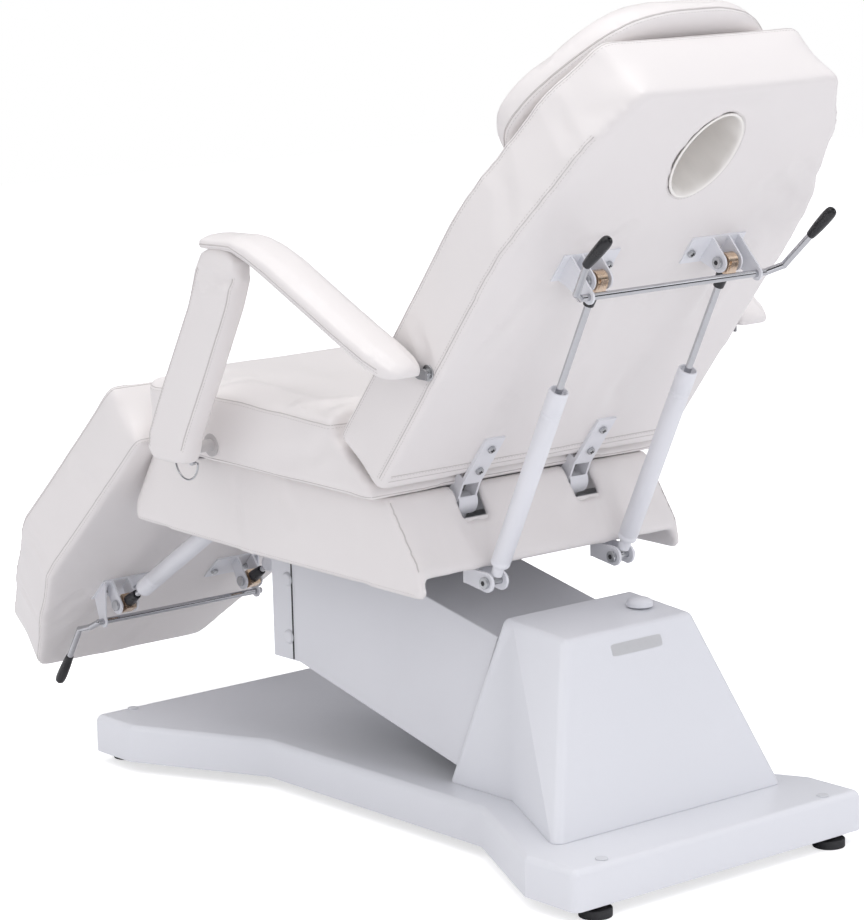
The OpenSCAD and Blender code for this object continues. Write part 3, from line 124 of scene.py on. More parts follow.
def tint(made, tone, other, size, rough):
    """Gives a material two tones and a roughness that drift over size patches to the metre."""
    nodes, join = made.node_tree.nodes, made.node_tree.links.new
    group = nodes.new("ShaderNodeGroup")
    group.node_tree = cloudy
    group.inputs["Tone"].default_value = (*tone, 1)
    group.inputs["Other tone"].default_value = (*other, 1)
    group.inputs["Size"].default_value = size
    group.inputs["Rough low"].default_value, group.inputs["Rough high"].default_value = rough
    join(group.outputs["Colour"], nodes["Principled BSDF"].inputs["Base Color"])
    join(group.outputs["Rough"], nodes["Principled BSDF"].inputs["Roughness"])


def emboss(made, cells_per_metre, crackle_per_metre, crackle_share, height):
    """Gives a material the fine grain of its mould or coating, as high as height in metres."""
    nodes, join = made.node_tree.nodes, made.node_tree.links.new
    group = nodes.new("ShaderNodeGroup")
    group.node_tree = pebbled
    group.inputs["Cells per metre"].default_value = cells_per_metre
    group.inputs["Crackle per metre"].default_value = crackle_per_metre
    group.inputs["Crackle share"].default_value = crackle_share
    bump = nodes.new("ShaderNodeBump")
    bump.inputs["Strength"].default_value = 1.0
    bump.inputs["Distance"].default_value = height
    join(group.outputs["Relief"], bump.inputs["Height"])
    join(bump.outputs["Normal"], nodes["Principled BSDF"].inputs["Normal"])


def coated(name, roughness, tone, other, size, rough, relief=None, metal=0.0):
    """A finish in two drifting tones. relief is its cells and crackle per metre, their share and height."""
    made = finish(name, roughness, metal)
    tint(made, tone, other, size, rough)
    if relief:
        emboss(made, *relief)
    return made


def dress(node, made, edge=0.0, rounds=2):
    """Gives a CAD node its finish, and eases its sharp edges by a real radius."""
    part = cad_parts[node]
    part.data.materials.clear()
    part.data.materials.append(made)
    for face in part.data.polygons:
        face.use_smooth = True
    weld = part.modifiers.new("Joined corners", "WELD")
    weld.merge_threshold = 0.00002
    flat = part.modifiers.new("Whole faces", "DECIMATE")
    flat.decimate_type = "DISSOLVE"
    flat.angle_limit = math.radians(0.6)
    if edge:
        bevel = part.modifiers.new("Eased edges", "BEVEL")
        bevel.width = edge
        bevel.segments = rounds
        bevel.limit_method = "ANGLE"
        bevel.angle_limit = math.radians(38)
        bevel.use_clamp_overlap = True
    part.modifiers.new("Flat faces kept flat", "WEIGHTED_NORMAL")


moulded = coated("Satin moulded shell", 0.34, (0.80, 0.81, 0.845), (0.775, 0.785, 0.825), 5.0, (0.30, 0.38),
                 (420, 900, 0.35, 0.00012))
dress("base_cover", moulded, 0.0006)

cap_plastic = coated("Foot cap plastic", 0.4, (0.70, 0.71, 0.74), (0.66, 0.67, 0.70), 60.0, (0.35, 0.45))
dress("foot_caps", cap_plastic, 0.0005)

# ---- Levelling feet and base frame ----
# Black rubber pads on threaded studs screw into the steel cross beams, and only their rims show
# under the cover. The beams and the two rails are welded box section, painted pale grey.
rubber = coated("Black foot rubber", 0.62, (0.018, 0.018, 0.020), (0.030, 0.030, 0.033), 45.0, (0.5, 0.7),
                (900, 2500, 0.6, 0.00010))
dress("foot_pads", rubber, 0.0012)

painted = coated("Pale chassis paint", 0.45, (0.66, 0.665, 0.69), (0.60, 0.605, 0.63), 9.0, (0.38, 0.52),
                 (700, 1600, 0.5, 0.00006))
for node in ("base_frame", "tower", "lower_arm", "upper_arm", "seat_frame"):
    dress(node, painted, 0.0009)

# ---- Rear housing ----
# A moulded hood over the lift's tower, with a broad radius on every edge and a small domed plug on
# top. A plain silver foil plate lies on its rear face.
dress("rear_housing", moulded, 0.0006)
row_shift = 266.794  # millimetres from the drawing's origin to the row frame's, along y


def row_at(x, y, z):
    """A place of the drawing, in millimetres, as a point of the row frame."""
    return Vector((x, y + row_shift, z)) / 1000


def make_piece(name, points, faces, made, body, smooth=True):
    """A piece from its points and faces, which rides on its body."""
    mesh = bpy.data.meshes.new(name)
    mesh.from_pydata([tuple(p) for p in points], [], faces)
    mesh.validate()
    work = bmesh.new()
    work.from_mesh(mesh)
    bmesh.ops.recalc_face_normals(work, faces=work.faces)
    work.to_mesh(mesh)
    work.free()
    for face in mesh.polygons:
        face.use_smooth = smooth
    mesh.materials.append(made)
    part = bpy.data.objects.new(name, mesh)
    bpy.context.scene.collection.objects.link(part)
    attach(part, body)
    return part


def between_rings(rings, around, closed=False):
    """Faces from each ring of points to the next, and from the last to the first where closed."""
    faces = []
    for j in range(rings if closed else rings - 1):
        here, there = j * around, (j + 1) % rings * around
        faces += [[here + k, here + (k + 1) % around, there + (k + 1) % around, there + k]
                  for k in range(around)]
    return faces


def rings_to_block(name, rings, made, body, smooth=True):
    """A closed block from rings of as many points each, stacked from its underside to its top."""
    around, last = len(rings[0]), (len(rings) - 1) * len(rings[0])
    faces = between_rings(len(rings), around)
    faces += [list(range(around))[::-1], list(range(last, last + around))]
    return make_piece(name, [p for ring in rings for p in ring], faces, made, body, smooth)


def mark_creases(mesh, degrees):
    """Edges that bend by more than this stay sharp."""
    work = bmesh.new()
    work.from_mesh(mesh)
    for edge in work.edges:
        edge.smooth = len(edge.link_faces) == 2 and edge.calc_face_angle(0) < math.radians(degrees)
    work.to_mesh(mesh)
    work.free()


def turned(name, profile, place, direction, made, body, sides=36):
    """Turned work: profile is (radius, height) pairs in millimetres up from place."""
    stand = Vector(direction).to_track_quat("Z", "Y").to_matrix().to_4x4()
    stand.translation = place
    turns = [math.tau * k / sides for k in range(sides)]
    part = rings_to_block(
        name, [[stand @ (Vector((radius * math.cos(a), radius * math.sin(a), height)) / 1000) for a in turns]
               for radius, height in profile], made, body)
    mark_creases(part.data, 40)
    return part


foil = coated("Blank silver foil", 0.34, (0.76, 0.765, 0.78), (0.70, 0.705, 0.72), 90.0, (0.28, 0.40),
              metal=0.35)
hood = BVHTree.FromObject(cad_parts["rear_housing"], bpy.context.evaluated_depsgraph_get())
hit, hood_out = hood.ray_cast(row_at(-4, 420, 300), Vector((0, -1, 0)))[:2]
hood_side = Vector((1, 0, 0))
hood_up = hood_out.cross(hood_side).normalized()
plate_half = (0.047, 0.0085)  # half the plate's width and height, in metres
plate_square, plate_sides = 0.2, 32
plate_rings = []
for lift in (-0.0003, 0.00035):
    ring = []
    for k in range(plate_sides):
        turn_by = math.tau * k / plate_sides
        wide, high = (math.copysign(abs(share) ** plate_square, share) * half
                      for share, half in zip((math.cos(turn_by), math.sin(turn_by)), plate_half))
        ring.append(hit + hood_side * wide + hood_up * high + hood_out * lift)
    plate_rings.append(ring)
rings_to_block("blank_plate", plate_rings, foil, "root", smooth=False)

cap_low, cap_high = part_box("housing_cap")
cap_wide = (cap_high[0] - cap_low[0]) * 500
cap_foot = Vector(((cap_low[0] + cap_high[0]) / 2, (cap_low[1] + cap_high[1]) / 2, cap_low[2]))
cap_profile = [(cap_wide * share, up) for share, up in (
    (1, 0), (1, 4), (0.97, 6), (0.88, 8.5), (0.7, 10.5), (0.45, 11.8), (0.2, 12.3))] + [(0.6, 12.4)]
cap = turned("hood_plug", cap_profile, cap_foot, (0, 0, 1), moulded, "root")
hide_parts("housing_cap")

# ---- Lift arms, cover and motor ----
# Two steel arms swing between the tower and the head post, driven by a spindle motor, and a folded
# sheet cover painted pale grey rides on the lower arm. The axles are plain zinc-plated bar.
sheet_paint = coated("Pale sheet paint", 0.38, (0.76, 0.765, 0.80), (0.73, 0.735, 0.77), 6.0, (0.33, 0.43),
                     (900, 2200, 0.5, 0.00005))
dress("arm_cover", sheet_paint, 0.0022, 3)

zinc = coated("Zinc plate", 0.32, (0.60, 0.61, 0.62), (0.50, 0.51, 0.53), 120.0, (0.22, 0.42),
              (2500, 6000, 0.5, 0.00002), metal=1.0)
for node in ("lift_axles", "hinge_pins", "elbow_pin_left", "elbow_pin_right"):
    dress(node, zinc, 0.0006)

motor_case = coated("Dark motor case", 0.5, (0.035, 0.036, 0.040), (0.055, 0.056, 0.060), 30.0, (0.42, 0.58),
                    (900, 2500, 0.4, 0.00008))
dress("actuator_body", motor_case, 0.0018, 3)

chrome = coated("Bright chrome", 0.1, (0.58, 0.585, 0.61), (0.48, 0.485, 0.505), 70.0, (0.04, 0.10),
                metal=1.0)
dress("actuator_rod", chrome, 0.0008)

# ---- Head post ----
# A folded white strip down each side of the lift head, held by two big domed screws that are painted over, one
# at each arm's pivot. A thin black strip of painted shade stands for the dark gap to the arms' cover.
white_coat = coated("White powder coat", 0.36, (0.80, 0.805, 0.84), (0.77, 0.775, 0.815), 14.0, (0.30, 0.42),
                    (1100, 2600, 0.5, 0.00005))
dress("head_post", sheet_paint, 0.0016, 3)
dress("head_pins", sheet_paint, 0.0014, 3)

# Painted shade: a thin black strip in the gap between the post and the arms' cover stands for the shadow there.
gap_shade_strip = coated("Black edge trim", 0.5, (0.02, 0.02, 0.022), (0.035, 0.035, 0.038), 120.0, (0.45, 0.6))
block_faces = between_rings(2, 4) + [[3, 2, 1, 0], [4, 5, 6, 7]]
gap_shade_x, gap_shade_half, gap_shade_front, gap_shade_rear = 104, 0.9, -352.2, -349.6
gap_shade_points, gap_shade_faces = [], []
for side in (-1, 1):
    gap_shade_faces += [[len(gap_shade_points) + k for k in face] for face in block_faces]
    for z in (186, 424):
        gap_shade_points += [row_at(side * gap_shade_x + out * gap_shade_half, y, z)
                        for out, y in ((-1, gap_shade_front), (1, gap_shade_front), (1, gap_shade_rear), (-1, gap_shade_rear))]
make_piece("post_trim", gap_shade_points, gap_shade_faces, gap_shade_strip, "seat", smooth=False)

# ---- Under-seat skirt ----
# Boards in the same off-white coated cloth as the cushions hang under the seat. The cloth is pulled
# round them, so the corners are soft and the side panels stand past the rear one like fins.
cloth = coated("Off-white coated cloth", 0.42, (0.815, 0.785, 0.775), (0.79, 0.758, 0.752), 7.0, (0.38, 0.50),
               (1400, 3200, 0.45, 0.00011))
cloth.node_tree.nodes["Principled BSDF"].inputs["Sheen Weight"].default_value = 0.12
cloth.node_tree.nodes["Principled BSDF"].inputs["Sheen Roughness"].default_value = 0.4


def evaluated(part, made):
    """The part's mesh with its modifiers applied, as the part's own."""
    depsgraph = bpy.context.evaluated_depsgraph_get()
    depsgraph.update()
    mesh = bpy.data.meshes.new_from_object(part.evaluated_get(depsgraph))
    part.modifiers.clear()
    part.data = mesh
    mesh.materials.clear()
    mesh.materials.append(made)
    for face in mesh.polygons:
        face.use_smooth = True


def remeshed(part, voxel, made, ease=0, stand=Matrix()):
    """An even mesh on the same form, with its grid along the axes of stand."""
    part.data.transform(stand.inverted())
    form = bpy.data.objects.new(part.name + "_form", part.data.copy())
    bpy.context.scene.collection.objects.link(form)
    grid = part.modifiers.new("Even mesh", "REMESH")
    grid.mode = "VOXEL"
    grid.voxel_size = voxel
    onto = part.modifiers.new("Onto the form", "SHRINKWRAP")
    onto.target = form
    if ease:
        calm = part.modifiers.new("Calm", "SMOOTH")
        calm.factor = 0.5
        calm.iterations = ease
    evaluated(part, made)
    bpy.data.objects.remove(form)
    part.data.transform(stand)


def spots(mesh):
    """The places of a mesh, one row for each point."""
    flat = np.empty(len(mesh.vertices) * 3)
    mesh.vertices.foreach_get("co", flat)
    return flat.reshape(-1, 3)


def set_spots(mesh, points):
    mesh.vertices.foreach_set("co", np.asarray(points).ravel())
    mesh.update()


def directions(mesh):
    """The outward directions at the points of a mesh."""
    flat = np.empty(len(mesh.vertices) * 3)
    mesh.vertex_normals.foreach_get("vector", flat)
    return flat.reshape(-1, 3)


fold_strength = 1.45


def fold(part, lines):
    """Presses soft folds into a cover: each line is its points, its depth and its width in metres. A fold
    fades towards its ends, and the cloth stands up by half its depth at both sides of it."""
    points, normals = spots(part.data), directions(part.data)
    shift = np.zeros(len(points))
    for path, depth, width in lines:
        nearest = np.full(len(points), 9.0)
        for a, b in zip(path[:-1], path[1:]):
            a, b = np.array(a), np.array(b)
            share = np.clip((points - a) @ (b - a) / max(1e-12, (b - a) @ (b - a)), 0, 1)
            nearest = np.minimum(nearest, np.linalg.norm(points - (a + share[:, None] * (b - a)), axis=1))
        first, last = np.array(path[0]), np.array(path[-1])
        tip = np.minimum(np.linalg.norm(points - first, axis=1), np.linalg.norm(points - last, axis=1))
        ends = np.clip(tip / (0.35 * np.linalg.norm(last - first)), 0.15, 1)
        shift += fold_strength * depth * ends * (
            0.55 * np.exp(-((nearest - 1.7 * width) / width) ** 2) - np.exp(-(nearest / width) ** 2))
    set_spots(part.data, points + normals * shift[:, None])


def creases(place, rows, side=1):
    """Lines for fold from rows of points, depth and width; place turns a point into the row frame."""
    return [([place(side * x, y, z) for x, y, z in points], depth, width) for points, depth, width in rows]


def copied(node, name, made, body):
    """A new piece on the CAD node's own form, which it stands for."""
    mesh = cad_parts[node].data.copy()
    part = bpy.data.objects.new(name, mesh)
    mesh.materials.clear()
    mesh.materials.append(made)
    bpy.context.scene.collection.objects.link(part)
    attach(part, body)
    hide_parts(node)
    return part


skirt = copied("skirt", "skirt_cover", cloth, "seat")
places = spots(skirt.data)
# The boards' upper edges are drawn up to the seat's underside, which rises from its foot to the front
seat_tilt = math.tan(math.radians(1.3))
seat_foot, skirt_front = 65, -491
drawn_y = places[:, 1] * 1000 - row_shift
edge_z = 0.489 + np.clip((drawn_y - skirt_front) / 553, 0, 1) * 0.0195
under_seat = 0.5105 + (seat_foot - np.clip(drawn_y, skirt_front, seat_foot)) * seat_tilt / 1000
pull = np.clip((places[:, 2] - edge_z + 0.05) / 0.045, 0, 1) * (under_seat - edge_z)
places[:, 2] += np.where(drawn_y < seat_foot + 1, pull, 0)
set_spots(skirt.data, places)
remeshed(skirt, 0.006, cloth, 6)
skirt_side = 246
skirt_rows = [
    ([(skirt_side, -300, 500), (skirt_side, -285, 440), (skirt_side, -280, 400)], 0.0016, 0.011),
    ([(skirt_side, -190, 500), (skirt_side, -160, 455)], 0.0012, 0.014),
    ([(130, 80, 480), (128, 112, 440), (122, 130, 410)], 0.0022, 0.012),
    ([(90, 95, 465), (60, 105, 448)], 0.0010, 0.012),
    ([(190, 80, 485), (205, 118, 425)], 0.0012, 0.013)]
fold(skirt, creases(row_at, skirt_rows, -1) + creases(row_at, skirt_rows))


def surface_of(part):
    return BVHTree.FromObject(part, bpy.context.evaluated_depsgraph_get())


def laid(tree, path, step, closed):
    """The path laid on a surface at even steps: places, outward normals and directions."""
    path = [Vector(p) for p in path] + ([Vector(path[0])] if closed else [])
    raw = [path[0]]
    for a, b in zip(path[:-1], path[1:]):
        count = max(1, round((b - a).length / 0.004))
        raw += [a.lerp(b, (k + 1) / count) for k in range(count)]
    hits = [tree.find_nearest(p) for p in raw]
    on = [h[0] for h in hits]
    out, gone, wanted = [], 0.0, 0.0
    for k in range(len(on) - 1):
        run = (on[k + 1] - on[k]).length
        while run > 1e-9 and gone + run >= wanted:
            share = (wanted - gone) / run
            place = on[k].lerp(on[k + 1], share)
            normal = hits[k][1].lerp(hits[k + 1][1], share).normalized()
            out.append((place, normal, (on[k + 1] - on[k]).normalized()))
            wanted += step
        gone += run
    return out


welt_turns = [math.tau * k / 6 for k in range(6)]
stitch_turns = [math.tau * (k + 0.5) / 4 for k in range(4)]
stitch_faces = between_rings(4, 4) + [[3, 2, 1, 0], [12, 13, 14, 15]]
# A stitch's four rings: their place along it in metres and their share of its thickness
stitch_rings = ((-0.0018, 0.2), (-0.0013, 1.0), (0.0013, 1.0), (0.0018, 0.2))
thread_wide, thread_high, thread_lift = 0.00036, 0.00034, 0.00005


def sewn(name, part, path, body, rows=(0.0042,), welt=0.0006, closed=True, step=0.0054):
    """A seam on a cover: a fine raised lip along the path, with rows of stitches beside it."""
    tree = surface_of(part)
    points, faces = [], []
    if welt:
        line = laid(tree, path, 0.004, closed)
        for place, normal, along in line:
            across = along.cross(normal).normalized()
            points += [place + across * welt * math.cos(a) * 1.3 + normal * welt * math.sin(a) * 0.8
                       for a in welt_turns]
        faces += between_rings(len(line), len(welt_turns), closed)
    for row in rows:
        for place, normal, along in laid(tree, path, step, closed):
            across = along.cross(normal).normalized()
            middle, normal = tree.find_nearest(place + across * row)[:2]
            faces += [[len(points) + k for k in face] for face in stitch_faces]
            for shift, wide in stitch_rings:
                points += [middle + along * shift + across * thread_wide * wide * math.cos(a)
                           + normal * (thread_lift + thread_high * wide * math.sin(a)) for a in stitch_turns]
    return make_piece(name, points, faces, thread, body)


thread = coated("Seam and thread", 0.55, (0.62, 0.59, 0.58), (0.55, 0.52, 0.51), 80.0, (0.5, 0.6))
for side, word in ((1, "left"), (-1, "right")):
    corner = [row_at(side * skirt_side, y, z) for y, z in ((66, 506), (100, 460), (129, 418))]
    sewn("skirt_corner_" + word, skirt, corner, "seat", rows=(), welt=0.0008, closed=False)
    hem = [row_at(side * skirt_side, y, z) for y, z in ((-540, 398), (-261, 390), (118, 383))]
    sewn("skirt_hem_" + word, skirt, hem, "seat", rows=(0.0,), welt=0, closed=False)

# ---- Seat cushion ----
# Foam on a plywood board in the same cloth, with a sewn edge above and below. Its rear face follows the foot of
# the back.


def outline_of(corners, bow=0.002, per_side=12, per_corner=8):
    """A plan outline: corners are (x, y, rounding), and the sides pull in by bow between them."""
    out = []
    count = len(corners)
    for j, (x, y, cut) in enumerate(corners):
        before, here, after = (Vector(corners[j - 1][:2]), Vector((x, y)), Vector(corners[(j + 1) % count][:2]))
        first = here + (before - here).normalized() * cut
        last = here + (after - here).normalized() * cut
        for k in range(per_corner + 1):
            t = k / per_corner
            out.append(first * (1 - t) ** 2 + here * 2 * t * (1 - t) + last * t ** 2)
        nxt = after + (here - after).normalized() * corners[(j + 1) % count][2]
        way = (after - here).normalized()
        for k in range(1, per_side):
            t = k / per_side
            out.append(last.lerp(nxt, t) + Vector((-way.y, way.x)) * bow * 4 * t * (1 - t))
    return out


def moved_in(outline, by):
    """The outline with its sides moved inwards."""
    out = []
    for k, p in enumerate(outline):
        way = (outline[(k + 1) % len(outline)] - outline[k - 1]).normalized()
        out.append(p + Vector((-way.y, way.x)) * by)
    return out


def stuffed(part, firm, reach, pressure=4.0, frames=20):
    """Blows the foam out against its cover, as pressed cloth. firm gives for each point how fast it
    is held, from 0 to 1, and reach is the furthest that a point may move."""
    start = spots(part.data)
    held = firm(start, directions(part.data))
    group = part.vertex_groups.new(name="held")
    for level in range(0, 11):
        chosen = np.nonzero(np.round(held * 10) == level)[0]
        if len(chosen) and level:
            group.add([int(v) for v in chosen], level / 10, "REPLACE")
    padding = part.modifiers.new("Padding", "CLOTH")
    cover = padding.settings
    cover.quality = 4
    cover.mass = 0.35
    cover.tension_stiffness = 12
    cover.compression_stiffness = 12
    cover.shear_stiffness = 6
    cover.bending_stiffness = 1.5
    cover.use_pressure = True
    cover.uniform_pressure_force = pressure
    cover.effector_weights.gravity = 0.0
    cover.vertex_group_mass = "held"
    cover.pin_stiffness = 1.0
    padding.point_cache.frame_start = 1
    padding.point_cache.frame_end = frames
    scene = bpy.context.scene
    for now in range(1, frames + 1):
        scene.frame_set(now)
    blown = part.evaluated_get(bpy.context.evaluated_depsgraph_get())
    ended = spots(blown.data)
    shift = ended - start
    length = np.linalg.norm(shift, axis=1)
    shift *= (np.minimum(length, reach) / np.maximum(length, 1e-9))[:, None]
    shift[~np.isfinite(shift)] = 0
    part.modifiers.clear()
    part.vertex_groups.clear()
    set_spots(part.data, start + shift)
    scene.frame_set(1)


def finer(part, made):
    """Splits each face in four and rounds the form a little."""
    split = part.modifiers.new("Finer", "SUBSURF")
    split.levels = 1
    evaluated(part, made)


seat_half, seat_front = 280, -465
seat_rear_line = [(0.0, seat_foot), (0.2, 62), (0.33, 45), (0.45, 26), (0.58, 7), (0.70, -8),
                  (0.78, -16), (0.86, -19), (1.0, -19)]
lining_board = coated("Grey board lining", 0.7, (0.30, 0.295, 0.29), (0.25, 0.245, 0.24), 40.0, (0.6, 0.75),
                      (900, 2500, 0.5, 0.00010))
dress("seat_board", lining_board, 0.0006)


def seat_rear_at(share):
    """How far back the seat's rear face lies at this share of its height."""
    for (a, ya), (b, yb) in zip(seat_rear_line[:-1], seat_rear_line[1:]):
        if share <= b:
            return ya + (yb - ya) * (share - a) / (b - a)
    return seat_rear_line[-1][1]


def seat_plan(rear, cut, out=0):
    """The seat's plan as far back as rear, and wider by out than the foam."""
    half, front = seat_half + out, seat_front - out
    return outline_of([(half, front, 18), (half, rear, cut), (-half, rear, cut), (-half, front, 18)], 1.5)


def seat_crown(y):
    """The share of its rise that the seat's top has reached at y, from none at its foot."""
    return min(1, 1.7 * (seat_foot - y) / (seat_foot - seat_front))


def seat_ring(share, tuck, rise):
    """The seat's outline at this share of its height, tucked in, and raised by rise."""
    ring = []
    for p in moved_in(seat_plan(seat_rear_at(share), 7), tuck):
        low = 511 + (seat_foot - p.y) * seat_tilt
        high = 611 + 16 * seat_crown(p.y)
        ring.append(row_at(p.x, p.y, low + (high - low) * share + rise))
    return ring


seat_cushion = rings_to_block(
    "seat_pad",
    [seat_ring(s, t, r) for s, t, r in (
        (0, 9, 0), (0, 4, 0.6), (0.02, 1.2, 0), (0.05, 0, 0), (0.25, 1.5, 0), (0.5, 3.0, 0), (0.72, 2.0, 0),
        (0.86, 0.5, 0), (0.92, 0.6, 0), (0.965, 2.0, 0), (0.99, 5.5, 0), (1.0, 11, 0.6), (1.0, 26, 3.2),
        (1.0, 50, 5.5))],
    cloth, "seat")
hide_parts("seat_cushion")
foam_step = 0.008
remeshed(seat_cushion, foam_step, cloth, 2)


def seat_firm(points, normals):
    """Firm on the board, at the rear face and along the sewn edge."""
    under = np.clip((0.545 - points[:, 2]) / 0.02, 0, 1)
    rear = np.clip((points[:, 1] - 0.262) / 0.01, 0, 1)
    edge = np.exp(-((points[:, 2] - 0.612) / 0.004) ** 2) * (np.abs(points[:, 0]) > 0.262)
    return np.clip(np.maximum(np.maximum(under, rear), 0.9 * edge), 0, 1)


stuffed(seat_cushion, seat_firm, 0.006)
finer(seat_cushion, cloth)
seat_rows = [
    ([(281, -20, 590), (281, -60, 560), (281, -150, 545)], 0.0012, 0.012),
    ([(280, -90, 618), (230, -60, 622), (150, -40, 622)], 0.0016, 0.014),
    ([(276, -330, 628), (225, -300, 632)], 0.0012, 0.012)]
fold(seat_cushion, creases(row_at, seat_rows, -1) + creases(row_at, seat_rows))
sewn("seat_top_seam", seat_cushion,
     [row_at(p.x, p.y, 603 + 15 * seat_crown(p.y)) for p in seat_plan(-20, 10, 1)], "seat", rows=(0.0045,))
sewn("seat_low_seam", seat_cushion,
     [row_at(p.x, p.y, 515 + (seat_foot - p.y) * seat_tilt) for p in seat_plan(seat_foot + 1, 8, 1)],
     "seat", rows=())
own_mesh(seat_cushion)

# ---- Spring clevises ----
# White folded clevises hang from the seat frame at the front and the rear, and a zinc bolt with a
# hexagon socket goes through each of them and the gas spring's eye.
dress("spring_clevises", white_coat, 0.0009)
dress("clevis_bolts", zinc, 0.0012, 3)
# Painted shade: the screws' drive recesses are flat near-black shapes that stand for the shade inside a real
# hollow.
recess = coated("Dark recess", 0.6, (0.02, 0.02, 0.022), (0.035, 0.035, 0.038), 200.0, (0.5, 0.7))


def socket_in(name, place, outward, radius, body, cross=False):
    """The drive recess of a screw: a flat hexagon or cross on its face, near black with painted shade for the
    hollow.
    """
    stand = Vector(outward).normalized().to_track_quat("Z", "Y").to_matrix().to_4x4()
    stand.translation = place
    if cross:
        arm, half = radius * 0.62, radius * 0.17
        shape = [(arm, -half), (arm, half), (half, half), (half, arm), (-half, arm), (-half, half),
                 (-arm, half), (-arm, -half), (-half, -half), (-half, -arm), (half, -arm), (half, -half)]
    else:
        shape = [(radius * 0.5 * math.cos(math.tau * k / 6), radius * 0.5 * math.sin(math.tau * k / 6))
                 for k in range(6)]
    rings = [[stand @ Vector((x, y, height)) for x, y in shape] for height in (-0.0002, 0.00025)]
    return rings_to_block(name, rings, recess, body, smooth=False)


spring_x, leg_spring_x = 119.6, 124
spring_foot, leg_spring_foot = (137, 386), (-425, 426)
clevis_reach = 21  # from the spring's middle to the bolt's face
for side, word in ((1, "left"), (-1, "right")):
    for k, name in ((1, "out"), (-1, "in")):
        for x, p, where_at in ((spring_x, spring_foot, "rear"), (leg_spring_x, leg_spring_foot, "front")):
            face_x = side * x + k * clevis_reach
            socket_in(f"socket_{where_at}_{word}_{name}", row_at(face_x, *p), (k, 0, 0), 0.0078, "seat")

# ---- Gas springs ----
# Each has a white painted tube with a rolled collar at its mouth and a crimp above its eye, a
# chrome rod, a black boot and a yellow-passivated release head.
back_frame = Matrix.Translation(row_at(0, 76.8, 524)) @ Matrix.Rotation(math.radians(-38.45), 4, "X")
leg_frame = Matrix.Translation(row_at(0, -489, 500)) @ Matrix.Rotation(math.radians(42.74), 4, "X")


def on_back(x, r, s):
    """A place on the back: across it, out of its rear face and up along it, in millimetres."""
    return back_frame @ (Vector((x, r, s)) / 1000)


def on_leg(x, u, n):
    """A place on the leg rest: across it, down along it and up out of it, in millimetres."""
    return leg_frame @ (Vector((x, -u, n)) / 1000)


def tube_profile(to):
    """A tube's outline from its crimped foot to the rolled collar at its mouth, to millimetres up."""
    return [
        (8.2, 12), (8.6, 24), (9.5, 27), (13.2, 29.5), (13.8, 31), (13.8, 35), (13.1, 36), (13.1, 37.5),
        (14, 39), (14, to - 44), (13.3, to - 43), (13.3, to - 41), (14, to - 40), (14, to - 37),
        (13.4, to - 36.2), (13.4, to - 35), (14, to - 34), (14, to - 2.2), (13.6, to - 0.8), (12.8, to),
        (11.6, to), (10.6, to - 1), (10.2, to - 4), (9.4, to - 5), (5.08, to - 5)]


def as_one(name, parts):
    """Joins pieces that stand for one node into the first of them."""
    work = bmesh.new()
    for part in parts:
        work.from_mesh(part.data)
    work.to_mesh(parts[0].data)
    work.free()
    for part in parts[1:]:
        bpy.data.objects.remove(part)
    parts[0].name = name
    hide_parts(name.replace("turned_", ""))
    return parts[0]


back_tube_long, leg_tube_long = 318, 345
back_pair, leg_pair = [], []
for side, word in ((1, "left"), (-1, "right")):
    foot, top = row_at(side * spring_x, *spring_foot), on_back(side * spring_x, 32, 412)
    back_pair.append(turned("back_tube_" + word, tube_profile(back_tube_long), foot, top - foot, white_coat,
                            "back_tubes", 48))
    foot, top = row_at(side * leg_spring_x, *leg_spring_foot), on_leg(side * leg_spring_x, 405, -25.7)
    leg_pair.append(turned("leg_tube_" + word, tube_profile(leg_tube_long), foot, top - foot, white_coat,
                           "leg_tubes", 48))
as_one("turned_back_spring_tubes", back_pair)
as_one("turned_leg_spring_tubes", leg_pair)
dress("back_spring_rods", chrome, 0.0004)
dress("leg_spring_rods", chrome, 0.0004)
black = coated("Black rubber sleeve", 0.3, (0.012, 0.012, 0.014), (0.022, 0.022, 0.025), 60.0, (0.22, 0.36),
               (1200, 3000, 0.5, 0.00006))
dress("back_spring_boots", black, 0.0014, 3)
dress("leg_spring_boots", black, 0.0014, 3)
passivated = coated("Yellow passivated zinc", 0.3, (0.62, 0.42, 0.24), (0.74, 0.64, 0.56), 75.0, (0.16, 0.36),
                    metal=1.0)
dress("back_release_heads", passivated, 0.0012, 3)
dress("leg_release_heads", passivated, 0.0012, 3)

# ---- Back hinges and spring brackets ----
# Folded white plates are screwed through the cover into the board: two hinge bars with ears at the
# foot of the back, bent round the hinge pins, and two brackets for the springs' heads and the bar. A
# pocket of cloth lies behind each hinge.
dress("back_hinges", white_coat, 0.0012, 3)
dress("back_brackets", white_coat, 0.0008)
dress("back_hinge_screws", zinc, 0.0018, 3)
dress("back_bracket_screws", zinc, 0.0014, 3)
hinge_x = 104.5
back_out = back_frame.to_3x3() @ Vector((0, 1, 0))
for side, word in ((1, "left"), (-1, "right")):
    for k, s in enumerate((18, 61)):
        socket_in(f"hinge_screw_recess_{word}_{k}", on_back(side * hinge_x, 10, s), back_out, 0.0055, "back",
                  cross=True)
    for k, x in enumerate((76, 146)):
        socket_in(f"bracket_screw_recess_{word}_{k}", on_back(side * x, 8, 407), back_out, 0.0055, "back",
                  cross=True)
    for k in (-1, 1):
        socket_in(f"head_bolt_recess_{word}_{'in' if k < 0 else 'out'}",
                  on_back(side * (spring_x + k * 21.5), 32, 412), (side * k, 0, 0), 0.0075, "back")

